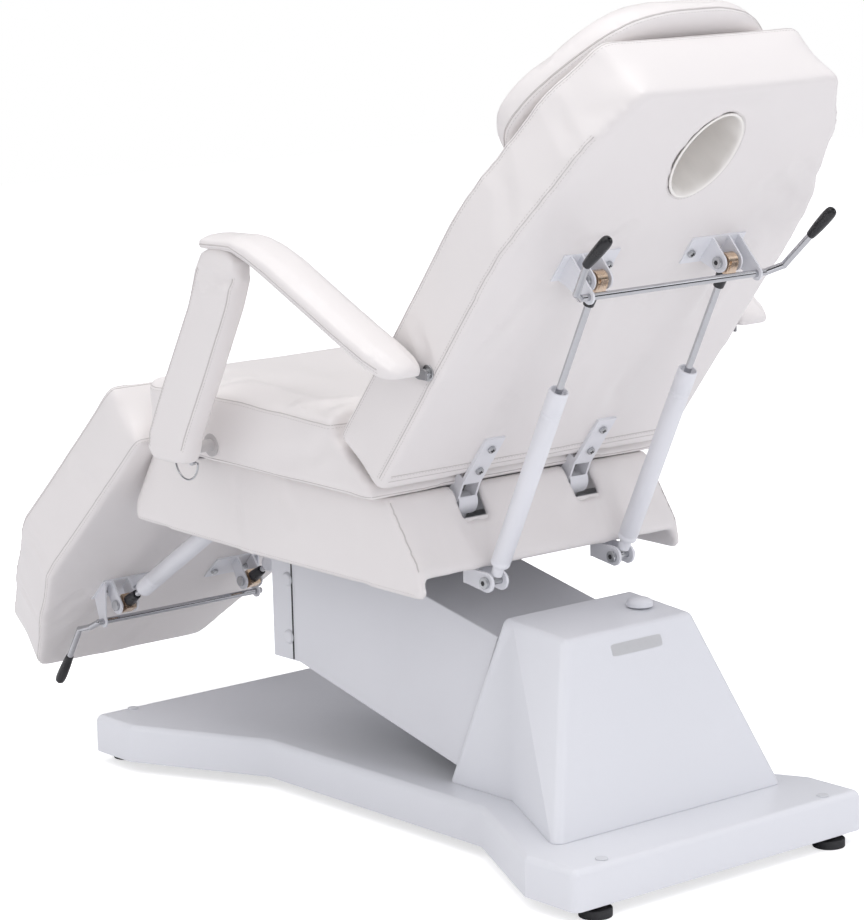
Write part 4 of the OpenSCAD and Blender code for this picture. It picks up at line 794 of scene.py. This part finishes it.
# The strip bends round the hinge pin, seen from the side
strip_y, strip_z, strip_in, strip_out, strip_half = 48, 486, 18.5, 20, 17
strip_turns = [math.radians(-72 + 97 * k / 18) for k in range(19)]
for side, word in ((1, "left"), (-1, "right")):
    strip = rings_to_block(
        "hinge_guard_" + word,
        [[row_at(side * hinge_x + x, strip_y + out * math.cos(a), strip_z + out * math.sin(a))
          for x, out in ((-strip_half, strip_in), (strip_half, strip_in), (strip_half, strip_out),
                         (-strip_half, strip_out))] for a in strip_turns],
        white_coat, "back")
    mark_creases(strip.data, 40)
    rings_to_block(
        "hinge_pocket_" + word,
        [[row_at(side * hinge_x + x, y, z) for y, z in ((92.6, 452), (83.3, 468), (84.7, 468), (94.0, 452))]
         for x in (-27, 27)], cloth, "seat", smooth=False)

# ---- Back cushion ----
# Thick foam on a board, tapered at the head, in off-white cloth that is drawn flat over the rear of
# the board. The cover has a double-stitched seam up its rear edges and a stapled hem at its foot.
heel_round, heel_start = 25, 86
back_plan = [(seat_half * 0.989, 0, 12), (seat_half, 436.7, 50), (229.6, 623.2, 25), (177, 709, 15)]
back_plan += [(-x, s, c) for x, s, c in reversed(back_plan)]
back_outline = outline_of(back_plan, 1.5)


def back_ring(tuck, t):
    """The back's outline at t in front of its board, tucked in, with a rounded heel."""
    ring = []
    for p in moved_in(back_outline, tuck):
        heel = 0
        if t > heel_start:
            heel = heel_round - math.sqrt(max(0, heel_round ** 2 - (t - heel_start) ** 2))
        ring.append(on_back(p.x, -t, max(p.y, heel)))
    return ring


back_pad = rings_to_block(
    "back_pad",
    [back_ring(i, t) for i, t in (
        (7, 0), (2.2, 0.2), (0.5, 2), (0, 5), (1.0, 20), (2.8, 45), (3.2, 62), (1.8, 86), (0.4, 98), (1.6, 104),
        (5, 109), (10, 111.5), (22, 114), (45, 117))],
    cloth, "back")
hole_middle = 588


def hole_ring(half_wide, half_long, r, count):
    """Points in an oval round the breathing hole."""
    turns = [math.tau * k / count for k in range(count)]
    return [on_back(half_wide * math.cos(a), r, hole_middle + half_long * math.sin(a)) for a in turns]


hole_cutter = rings_to_block("hole_cutter", [hole_ring(50, 71, r, 48) for r in (40, -160)], cloth, "back")
cut = back_pad.modifiers.new("Breathing hole", "BOOLEAN")
cut.operation = "DIFFERENCE"
cut.object = hole_cutter
cut.solver = "EXACT"
evaluated(back_pad, cloth)
bpy.data.objects.remove(hole_cutter)
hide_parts("back_cushion", "back_board")
remeshed(back_pad, foam_step, cloth, 3, back_frame)
to_back = np.array(back_frame.inverted())


def back_places(points):
    """The places of points as seen from the back, in metres."""
    return points @ to_back[:3, :3].T + to_back[:3, 3]


def back_firm(points, normals):
    """Firm on the board, along the front edge, round the hole and at the foot."""
    p = back_places(points)
    rear = np.clip((0.016 + p[:, 1]) / 0.010, 0, 1)
    front_edge = 0.85 * np.exp(-((p[:, 1] + 0.104) / 0.004) ** 2)
    hole = np.hypot(p[:, 0] / 0.049, (p[:, 2] - 0.588) / 0.070)
    hole_edge = np.clip(1.5 - hole, 0, 0.5) * 2
    foot_edge = np.clip((0.012 - p[:, 2]) / 0.01, 0, 1)
    return np.clip(np.maximum.reduce([rear, front_edge, hole_edge, foot_edge]), 0, 1)


stuffed(back_pad, back_firm, 0.007)
finer(back_pad, cloth)
rear_rows = [
    ([(-235, 0, 470), (-205, 0, 500), (-160, 0, 520)], 0.0026, 0.016),
    ([(-240, 0, 515), (-200, 0, 548)], 0.0018, 0.014),
    ([(-255, 0, 395), (-215, 0, 440), (-190, 0, 462)], 0.0014, 0.015),
    ([(-185, 0, 395), (-178, 0, 330), (-170, 0, 268)], 0.0032, 0.013),
    ([(-160, 0, 375), (-166, 0, 315), (-176, 0, 262)], 0.0020, 0.010),
    ([(-60, 0, 372), (-52, 0, 318)], 0.0018, 0.012),
    ([(70, 0, 470), (95, 0, 450), (140, 0, 452)], 0.0020, 0.009),
    ([(165, 0, 455), (205, 0, 480), (232, 0, 515)], 0.0016, 0.016),
    ([(62, 0, 372), (56, 0, 300), (40, 0, 230)], 0.0024, 0.014),
    ([(180, 0, 372), (196, 0, 300), (214, 0, 260)], 0.0018, 0.014),
    ([(-104, 0, 98), (-92, 0, 140), (-96, 0, 190)], 0.0016, 0.013),
    ([(104, 0, 98), (116, 0, 146)], 0.0014, 0.013),
    ([(-20, 0, 60), (10, 0, 120), (12, 0, 180)], 0.0012, 0.018),
    ([(-50, 0, 668), (0, 0, 676), (60, 0, 670)], 0.0012, 0.012)]
side_rows = [
    ([(276, -18, 215), (277, -45, 240), (278, -75, 250)], 0.0016, 0.010),
    ([(276, -22, 205), (277, -50, 190)], 0.0012, 0.009),
    ([(281, -20, 470), (262, -60, 505), (258, -92, 515)], 0.0014, 0.014),
    ([(236, -25, 612), (232, -80, 622)], 0.0014, 0.012)]
fold(back_pad, creases(on_back, rear_rows) + creases(on_back, side_rows, -1) + creases(on_back, side_rows))


def back_path(plan, t):
    """A path round the back at t in front of its board."""
    return [on_back(p.x, -t, p.y) for p in plan]


for side, word in ((1, "left"), (-1, "right")):
    edge_line = [on_back(side * x, -7, s) for x, s in ((279, 22), (281, 432), (231, 618), (222, 640))]
    sewn("back_rear_seam_" + word, back_pad, edge_line, "back", rows=(-0.0036, 0.0042), closed=False)
sewn("back_front_seam", back_pad, back_path(moved_in(back_outline, -1), 103), "back", rows=(0.0045,))
sewn("back_foot_hem", back_pad, [on_back(-268, 2, 31), on_back(268, 2, 31)], "back",
     rows=(-0.0028,), welt=0.0008, closed=False)
sewn("back_foot_fold", back_pad, [on_back(-268, 2, 20.5), on_back(268, 2, 20.5)], "back", rows=(), closed=False)

# ---- Breathing hole lining ----
# An oval sleeve of the same cloth is turned out over the hole's rim at the front and the rear, sewn
# down in a ring, and left a little loose inside.
lining_cloth = coated("Lining cloth", 0.5, (0.93, 0.91, 0.88), (0.87, 0.84, 0.80), 12.0, (0.42, 0.55),
                      (1400, 3200, 0.45, 0.00011))
lining_profile = [
    (4.6, 0.5), (4.3, -0.8), (3.2, -1.6), (1.9, -1.6), (0.6, -0.6), (-0.6, 1.5), (-1.4, 8), (-1.2, 30),
    (-2.6, 55), (-1.4, 80), (-1.4, 105), (-0.6, 113.5), (1.4, 117.2), (4.0, 118.6), (6.5, 118.2),
    (8.4, 116.6), (9.2, 114.6)]
sleeve_wide, sleeve_long, around = 48, 69, 96
lining_points = []
for grow, t in lining_profile:
    for k in range(around):
        turn_by = math.tau * k / around
        slack = 0.0 if t < 6 or t > 104 else (
            1.3 * math.sin(3 * turn_by + t / 60) + 1.1 * math.sin(8 * turn_by - t / 55)
            + 0.5 * math.sin(17 * turn_by))
        wide, long = sleeve_wide + grow - slack, sleeve_long + grow - slack
        lining_points.append(on_back(wide * math.cos(turn_by), -t, hole_middle + long * math.sin(turn_by)))
lining = make_piece("hole_sleeve", lining_points, between_rings(len(lining_profile), around), lining_cloth,
                    "back")
thick = lining.modifiers.new("Cloth thickness", "SOLIDIFY")
thick.thickness = 0.0012
thick.offset = -1
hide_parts("hole_lining")
sewn("hole_seam", back_pad, hole_ring(55, 76, 2, 64), "back", rows=(0.0,), welt=0)

# ---- Pillow ----
# A soft loose pillow lies on the head end, broad at the crown and narrower at the neck, closed with
# a piped seam round its middle.
pillow_right = [(150, 466, 26), (208, 492, 24), (236, 540, 22), (224, 592, 24), (183, 648, 25), (140, 694, 25),
                (98, 717, 20), (48, 726, 15)]
pillow_foot, pillow_middle = -121.3, 600
pillow_outline = outline_of(pillow_right + [(-x, s, c) for x, s, c in reversed(pillow_right)], 0, 3, 4)


def pillow_ring(tuck, t):
    """The pillow's outline at t above its underside, tucked in."""
    share = 1 - max(0, tuck - 10) / 130
    return [on_back(p.x * share, pillow_foot - t, pillow_middle + (p.y - pillow_middle) * share)
            for p in moved_in(pillow_outline, min(tuck, 10))]


pillow = rings_to_block(
    "pillow_pad",
    [pillow_ring(i, t) for i, t in (
        (12, 0), (5, 1), (1.5, 5), (0, 11), (0.8, 18), (4, 34), (11, 47), (22, 57), (38, 63.5), (62, 67.5),
        (95, 69.5))],
    cloth, "back")
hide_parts("pillow")
remeshed(pillow, 0.007, cloth, 4, back_frame)


def pillow_firm(points, normals):
    """Firm where the pillow lies on the back."""
    p = back_places(points)
    return np.clip((0.130 + p[:, 1]) / 0.006, 0, 1)


stuffed(pillow, pillow_firm, 0.004)
finer(pillow, cloth)
sewn("pillow_seam", pillow, back_path(moved_in(pillow_outline, -1), 11 - pillow_foot), "back", rows=(0.005,),
     welt=0.0011)

# ---- Back release bar ----
# A chromed bar across the back turns in the brackets' ears, and a bent lever with a black sleeve
# stands up at each end of it.
dress("back_release_bar", chrome, 0.0004)


def sleeve(name, start, end, body):
    """A black rubber sleeve pulled over a lever's end, thickest in the palm."""
    way = end - start
    run = way.length * 1000
    profile = [(0.1, -2.0), (5.4, -2.0), (6.1, -1.2), (6.3, 1.0)]
    profile += [(radius, run * share) for radius, share in (
        (7.0, 0.12), (7.9, 0.35), (8.4, 0.6), (8.4, 0.78), (8.0, 0.88), (7.0, 0.95), (5.2, 0.985), (3.0, 1),
        (1.7, 1))]
    profile.append((1.6, run - 3.0))
    return turned(name, profile, start, way, black, body, 32)


as_one("turned_back_lever_grips",
       [sleeve("back_grip_" + word, row_at(side * 205, 433, 861), row_at(side * 204, 475, 898), "back_lever")
        for side, word in ((1, "left"), (-1, "right"))])

# ---- Leg hinges, brackets and bar ----
# The leg rest has the same hinge bars, brackets and springs as the back, on its underside, and one
# bent release lever with a black sleeve at the sitter's left.
dress("leg_hinges", white_coat, 0.0012, 3)
dress("leg_brackets", white_coat, 0.0008)
dress("leg_bracket_screws", zinc, 0.0014, 3)
dress("leg_release_bar", chrome, 0.0004)
leg_grip = sleeve("leg_grip", row_at(158, -886, 105), row_at(156, -924, 56), "leg_lever")
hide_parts("leg_lever_grip")

# ---- Leg cushion ----
# Foam on a board, as wide as the seat and tapered to the feet, with crowned faces and sides that
# pull in between their two seams.
leg_start, leg_long, leg_under = 18.6, 667, 12.8
leg_plan = [(seat_half * width, leg_start - leg_long * share, corner) for width, share, corner in (
    (0.582, 1, 25), (0.8, 0.771, 25), (1, 0.537, 25), (1, 0, 12))]
leg_plan += [(-x, y, c) for x, y, c in reversed(leg_plan)]
leg_outline = outline_of(leg_plan, 1.5)


def leg_ring(tuck, n):
    """The leg rest's outline at n above its board, tucked in."""
    return [on_leg(p.x, -p.y, leg_under + n) for p in moved_in(leg_outline, tuck)]


leg_pad = rings_to_block(
    "leg_pad",
    [leg_ring(i, n) for i, n in (
        (9, 0), (3.5, 0.4), (1, 3), (0, 8), (1.4, 28), (3.4, 52), (3.2, 68), (1.4, 92), (0.3, 102), (1.6, 107),
        (5, 112), (10, 114.5), (22, 117), (45, 120))],
    cloth, "leg")
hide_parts("leg_cushion", "leg_board")
remeshed(leg_pad, foam_step, cloth, 3, leg_frame)
to_leg = np.array(leg_frame.inverted())


def leg_firm(points, normals):
    """Firm on the board and along the upper edge."""
    p = points @ to_leg[:3, :3].T + to_leg[:3, 3]
    under = np.clip((0.030 - p[:, 2]) / 0.010, 0, 1)
    top_edge = 0.85 * np.exp(-((p[:, 2] - 0.120) / 0.004) ** 2)
    return np.clip(np.maximum(under, top_edge), 0, 1)


stuffed(leg_pad, leg_firm, 0.007)
finer(leg_pad, cloth)
under_rows = [
    ([(-150, 300, 12), (-60, 330, 12), (60, 310, 12)], 0.0014, 0.020),
    ([(60, 470, 12), (120, 500, 12), (180, 560, 12)], 0.0022, 0.016),
    ([(190, 420, 12), (215, 470, 12)], 0.0018, 0.014),
    ([(-190, 420, 12), (-210, 480, 12)], 0.0018, 0.014),
    ([(0, 560, 12), (20, 620, 12)], 0.0014, 0.014)]
edge_rows = [
    ([(282, 120, 40), (282, 150, 90)], 0.0012, 0.012),
    ([(281, 330, 30), (276, 350, 110)], 0.0016, 0.011),
    ([(228, 495, 30), (224, 505, 110)], 0.0014, 0.010)]
fold(leg_pad, creases(on_leg, under_rows) + creases(on_leg, edge_rows, -1) + creases(on_leg, edge_rows))
sewn("leg_low_seam", leg_pad, leg_ring(-1, 9), "leg", rows=(0.0042,))
sewn("leg_top_seam", leg_pad, leg_ring(-1, 105), "leg", rows=(-0.0045,))

# ---- Armrests ----
# A padded front post turns on a bolt in the seat's side and carries, at its elbow, a padded arm on a
# steel strip, whose rear tip is pinned to the side of the back, so both fold as the back goes down.
arm_steel = coated("Black strip paint", 0.45, (0.30, 0.30, 0.31), (0.24, 0.24, 0.25), 30.0, (0.38, 0.52),
                   (900, 2200, 0.5, 0.00005))
washer_steel = coated("Grey washer plastic", 0.45, (0.55, 0.53, 0.53), (0.48, 0.465, 0.465), 40.0, (0.38, 0.52))
dress("armrest_bosses", washer_steel, 0.0008)
dress("armrest_pins", zinc, 0.0007)
bolt_dome = [(6.4, 0), (6.4, 1.2), (5.8, 2.0), (4.6, 2.4), (0.5, 2.4)]
low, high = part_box("armrest_bosses")
for side, word in ((1, "left"), (-1, "right")):
    face = Vector((side * (high[0] - 0.0002), (low[1] + high[1]) / 2, (low[2] + high[2]) / 2))
    turned("boss_bolt_" + word, bolt_dome, face, (side, 0, 0), zinc, "seat", 28)
    socket_in("boss_socket_" + word, face + Vector((side * 0.0025, 0, 0)), (side, 0, 0), 0.0070, "seat")
pad_lines = [(-54, 15), (-30, 18), (10, 19), (34, 19), (68, 8), (113, -10), (192, -47), (268, -83), (325, -108),
             (352, -120)]
elbow_rows = [
    ([(364, -190, 812), (362, -140, 806), (364, -100, 812)], 0.0022, 0.007),
    ([(364, -185, 795), (362, -150, 797)], 0.0014, 0.006)]
arm_in, arm_out, post_in = 289, 364, 327
elbow_y, elbow_z = -160, 836
arm_step = 0.004
for side, word in ((1, "left"), (-1, "right")):
    dress(f"arm_steel_{word}", arm_steel, 0.0006)
    arm = copied(f"arm_pad_{word}", f"arm_cover_{word}", cloth, f"arm_upper_{word}")
    places = spots(arm.data)
    nose = row_at(0, -190, 0).y
    places[:, 1] = np.where(places[:, 1] < nose, nose + (places[:, 1] - nose) * 0.5, places[:, 1])
    set_spots(arm.data, places)
    remeshed(arm, arm_step, cloth, 3)
    stuffed(arm, lambda points, normals: np.clip(-normals[:, 2] * 2, 0, 1), 0.003, pressure=3)
    finer(arm, cloth)
    for part_of, x in (("outer", arm_out), ("inner", arm_in)):
        line = [row_at(side * x, elbow_y + y, elbow_z + z) for y, z in pad_lines]
        sewn(f"arm_seam_{part_of}_{word}", arm, line, f"arm_upper_{word}", rows=(0.0038,), welt=0.0008,
             closed=False)
    post = copied(f"front_pad_{word}", f"front_cover_{word}", cloth, f"arm_front_{word}")
    places = spots(post.data)
    forward = np.clip((row_at(0, -135, 0).y - places[:, 1]) / 0.060, 0, 1)
    places[:, 2] += np.clip((places[:, 2] - 0.765) / 0.040, 0, 1) * (0.006 + 0.009 * forward)
    places[:, 1] -= np.clip((places[:, 2] - 0.780) / 0.040, 0, 1) * 0.006 * forward
    set_spots(post.data, places)
    remeshed(post, arm_step, cloth, 3)
    stuffed(post, lambda points, normals: np.clip(np.abs(normals[:, 0]) - 0.6, 0, 1) * 2, 0.003, pressure=3)
    finer(post, cloth)
    fold(post, creases(row_at, elbow_rows, side))
    for part_of, x in (("outer", arm_out), ("inner", post_in)):
        for edge, rows in (
                ("front", [(-342, 552), (-341, 571), (-299, 651), (-233, 765), (-203, 822)]),
                ("rear", [(-254, 553), (-246, 571), (-200, 651), (-137, 765), (-117, 812)])):
            sewn(f"post_seam_{part_of}_{edge}_{word}", post,
                 [row_at(side * x, y + (4 if edge == "front" else -4), z) for y, z in rows],
                 f"arm_front_{word}", rows=(0.0036,), welt=0.0008, closed=False)

# ---- Strap rings ----
# A half ring of chromed wire hangs in two small staples under each side of the seat.
dress("ring_staples", chrome, 0.0002)


def swept(name, path, radius, made, body, sides=12):
    """A closed tube along a closed path, with its rings turned as little as they can be."""
    count = len(path)
    points = []
    across = (path[1] - path[0]).orthogonal().normalized()
    for k in range(count):
        along = (path[(k + 1) % count] - path[k - 1]).normalized()
        across = (across - along * across.dot(along)).normalized()
        other = along.cross(across)
        points += [path[k] + (across * math.cos(turn_by) + other * math.sin(turn_by)) * radius
                   for turn_by in (math.tau * j / sides for j in range(sides))]
    return make_piece(name, points, between_rings(count, sides, closed=True), made, body)


for side, word in ((1, "left"), (-1, "right")):
    low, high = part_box("ring_" + word)
    wire = (high[0] - low[0]) / 2
    reach = (high[1] - low[1]) / 2 - wire
    middle = Vector(((low[0] + high[0]) / 2, (low[1] + high[1]) / 2, high[2] - wire))
    bow = [middle + Vector((0, reach * math.cos(math.pi * k / 36), -reach * math.sin(math.pi * k / 36)))
           for k in range(37)]
    bar = [bow[-1].lerp(bow[0], k / 14) for k in range(1, 14)]
    ring = swept("strap_ring_" + word, bow + bar, wire, chrome, "ring_" + word)
    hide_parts("ring_" + word)

# ---- Floor and studio ----
# A plain white floor that keeps the chair's soft shadow, with broad lamps: the strongest overhead, a
# low one behind the camera and one at each side. Mirrored rays see dark flags, which draw the chrome.
floor_mesh = bpy.data.meshes.new("floor")
floor_half, floor_z = 8, -0.0005
floor_corners = ((-1, -1), (1, -1), (1, 1), (-1, 1))
floor_mesh.from_pydata([(x * floor_half, y * floor_half, floor_z) for x, y in floor_corners], [], [(0, 1, 2, 3)])
floor = bpy.data.objects.new("floor", floor_mesh)
bpy.context.scene.collection.objects.link(floor)
floor_white = finish("Studio floor", 0.9)
nodes, join = floor_white.node_tree.nodes, floor_white.node_tree.links.new
paper = nodes["Principled BSDF"]
paper.inputs["Base Color"].default_value = (0.90, 0.90, 0.91, 1)
paper.inputs["Specular IOR Level"].default_value = 0.0
seen_by = nodes.new("ShaderNodeLightPath")
lift_up = nodes.new("ShaderNodeMath")
lift_up.operation = "MULTIPLY"
lift_up.inputs[1].default_value = 0.62
join(seen_by.outputs["Is Camera Ray"], lift_up.inputs[0])
join(lift_up.outputs[0], paper.inputs["Emission Strength"])
paper.inputs["Emission Color"].default_value = (1, 1, 1, 1)
floor_mesh.materials.append(floor_white)

world = bpy.data.worlds.new("Studio")
bpy.context.scene.world = world
world.use_nodes = True
nodes, join = world.node_tree.nodes, world.node_tree.links.new
nodes.clear()


def added(kind, **values):
    """A new node of the world, with the values of its named inputs."""
    node = nodes.new(kind)
    for label, value in values.items():
        node.inputs[label.replace("_", " ")].default_value = value
    return node


def graded(ends, rows, blue=1.0):
    """A ramp between two end tones, with greys in between."""
    ramp = nodes.new("ShaderNodeValToRGB")
    elements = ramp.color_ramp.elements
    for k, tone in enumerate(ends):
        elements[k].position, elements[k].color = float(k), (*tone, 1)
    for place, shade in rows:
        elements.new(place).color = (shade, shade, shade * blue, 1)
    return ramp


rays = nodes.new("ShaderNodeLightPath")
straight = nodes.new("ShaderNodeMath")
straight.operation = "MAXIMUM"
dim = added("ShaderNodeBackground", Color=(0.965, 0.965, 1.0, 1), Strength=0.76)
bright = added("ShaderNodeBackground", Color=(1, 1, 1, 1), Strength=1.0)
mirrored, out = nodes.new("ShaderNodeBackground"), nodes.new("ShaderNodeOutputWorld")
pick, pick_mirror = nodes.new("ShaderNodeMixShader"), nodes.new("ShaderNodeMixShader")
way, parts = nodes.new("ShaderNodeTexCoord"), nodes.new("ShaderNodeSeparateXYZ")
height = added("ShaderNodeMapRange", From_Min=-1.0, From_Max=1.0)
sideways = added("ShaderNodeMapRange", From_Min=-1.0, From_Max=1.0)
ramp = graded(((0.75, 0.75, 0.76), (0.95, 0.95, 0.96)),
              ((0.34, 0.55), (0.43, 0.06), (0.59, 0.07), (0.70, 0.70)), 1.02)
flags = graded(((0.9, 0.9, 0.9), (1, 1, 1)), (
    (0.16, 0.9), (0.22, 0.12), (0.36, 0.12), (0.42, 1.0), (0.60, 1.0), (0.68, 0.1), (0.80, 0.1), (0.86, 1.0)))
both_ways = nodes.new("ShaderNodeMix")
both_ways.data_type = "RGBA"
both_ways.blend_type = "MULTIPLY"
both_ways.inputs["Factor"].default_value = 1.0
for start, end in (
        (way.outputs["Generated"], parts.inputs[0]), (parts.outputs["Z"], height.inputs["Value"]),
        (height.outputs["Result"], ramp.inputs["Fac"]), (parts.outputs["X"], sideways.inputs["Value"]),
        (sideways.outputs["Result"], flags.inputs["Fac"]), (ramp.outputs["Color"], both_ways.inputs[6]),
        (flags.outputs["Color"], both_ways.inputs[7]), (both_ways.outputs[2], mirrored.inputs["Color"]),
        (rays.outputs["Is Camera Ray"], straight.inputs[0]),
        (rays.outputs["Is Transmission Ray"], straight.inputs[1]),
        (rays.outputs["Is Glossy Ray"], pick_mirror.inputs["Fac"]), (dim.outputs[0], pick_mirror.inputs[1]),
        (mirrored.outputs[0], pick_mirror.inputs[2]), (straight.outputs[0], pick.inputs["Fac"]),
        (pick_mirror.outputs[0], pick.inputs[1]), (bright.outputs[0], pick.inputs[2]),
        (pick.outputs[0], out.inputs["Surface"])):
    join(start, end)


def lamp(name, place, target, size, power, colour):
    """A soft box of this size at place, turned to its target."""
    light = bpy.data.lights.new(name, "AREA")
    light.shape = "RECTANGLE"
    light.size, light.size_y = size
    light.energy = power
    light.color = colour
    holder = bpy.data.objects.new(name, light)
    holder.location = place
    holder.rotation_euler = (Vector(target) - Vector(place)).to_track_quat("-Z", "Y").to_euler()
    bpy.context.scene.collection.objects.link(holder)


lamp("key", (3.4, -0.6, 3.0), (0, 0, 0.6), (2.6, 2.6), 17, (1.0, 0.985, 0.965))
lamp("top", (0.2, 0.4, 4.2), (0, 0, 0.6), (3.0, 3.0), 60, (1.0, 0.99, 0.98))
lamp("low", (0.9, 4.6, 0.95), (0, 0, 0.45), (3.2, 1.6), 22, (0.96, 0.96, 1.0))
lamp("right", (-3.4, 2.4, 2.2), (0, 0, 0.6), (2.0, 2.4), 12, (0.96, 0.96, 1.0))

# ---- Camera ----
# It stands as in the photograph, a little above the seat and behind the chair's left side.
turn, tip, roll = math.radians(140.533), math.radians(10.666), math.radians(-1.4126)
back_way = Vector((math.sin(turn) * math.cos(tip), -math.cos(turn) * math.cos(tip), math.sin(tip)))
level = Vector((math.cos(turn), math.sin(turn), 0))
upward = back_way.cross(level)
right_way = level * math.cos(roll) + upward * math.sin(roll)
up_way = upward * math.cos(roll) - level * math.sin(roll)
camera = bpy.data.cameras.new("photographer")
# The focal length, the frame and the optical centre, in pixels of the photograph
focal_px, frame_wide, frame_high, centre_x, centre_y = 3351.62, 864, 920, 436.19, 461.26
at_x, at_y, at_z = 3.0619, 3.8573, 1.4116
camera.lens = focal_px / frame_high * 36
camera.sensor_width = 36
camera.sensor_height = 36
camera.sensor_fit = "AUTO"
camera.shift_x = -(centre_x - frame_wide / 2) / frame_high
camera.shift_y = (centre_y - frame_high / 2) / frame_high
camera.clip_end = 60
holder = bpy.data.objects.new("photographer", camera)
holder.matrix_world = Matrix((
    (right_way.x, up_way.x, back_way.x, at_x), (right_way.y, up_way.y, back_way.y, at_y),
    (right_way.z, up_way.z, back_way.z, at_z), (0, 0, 0, 1)))
bpy.context.scene.collection.objects.link(holder)
bpy.context.scene.camera = holder
bpy.context.scene.view_settings.view_transform = "Standard"
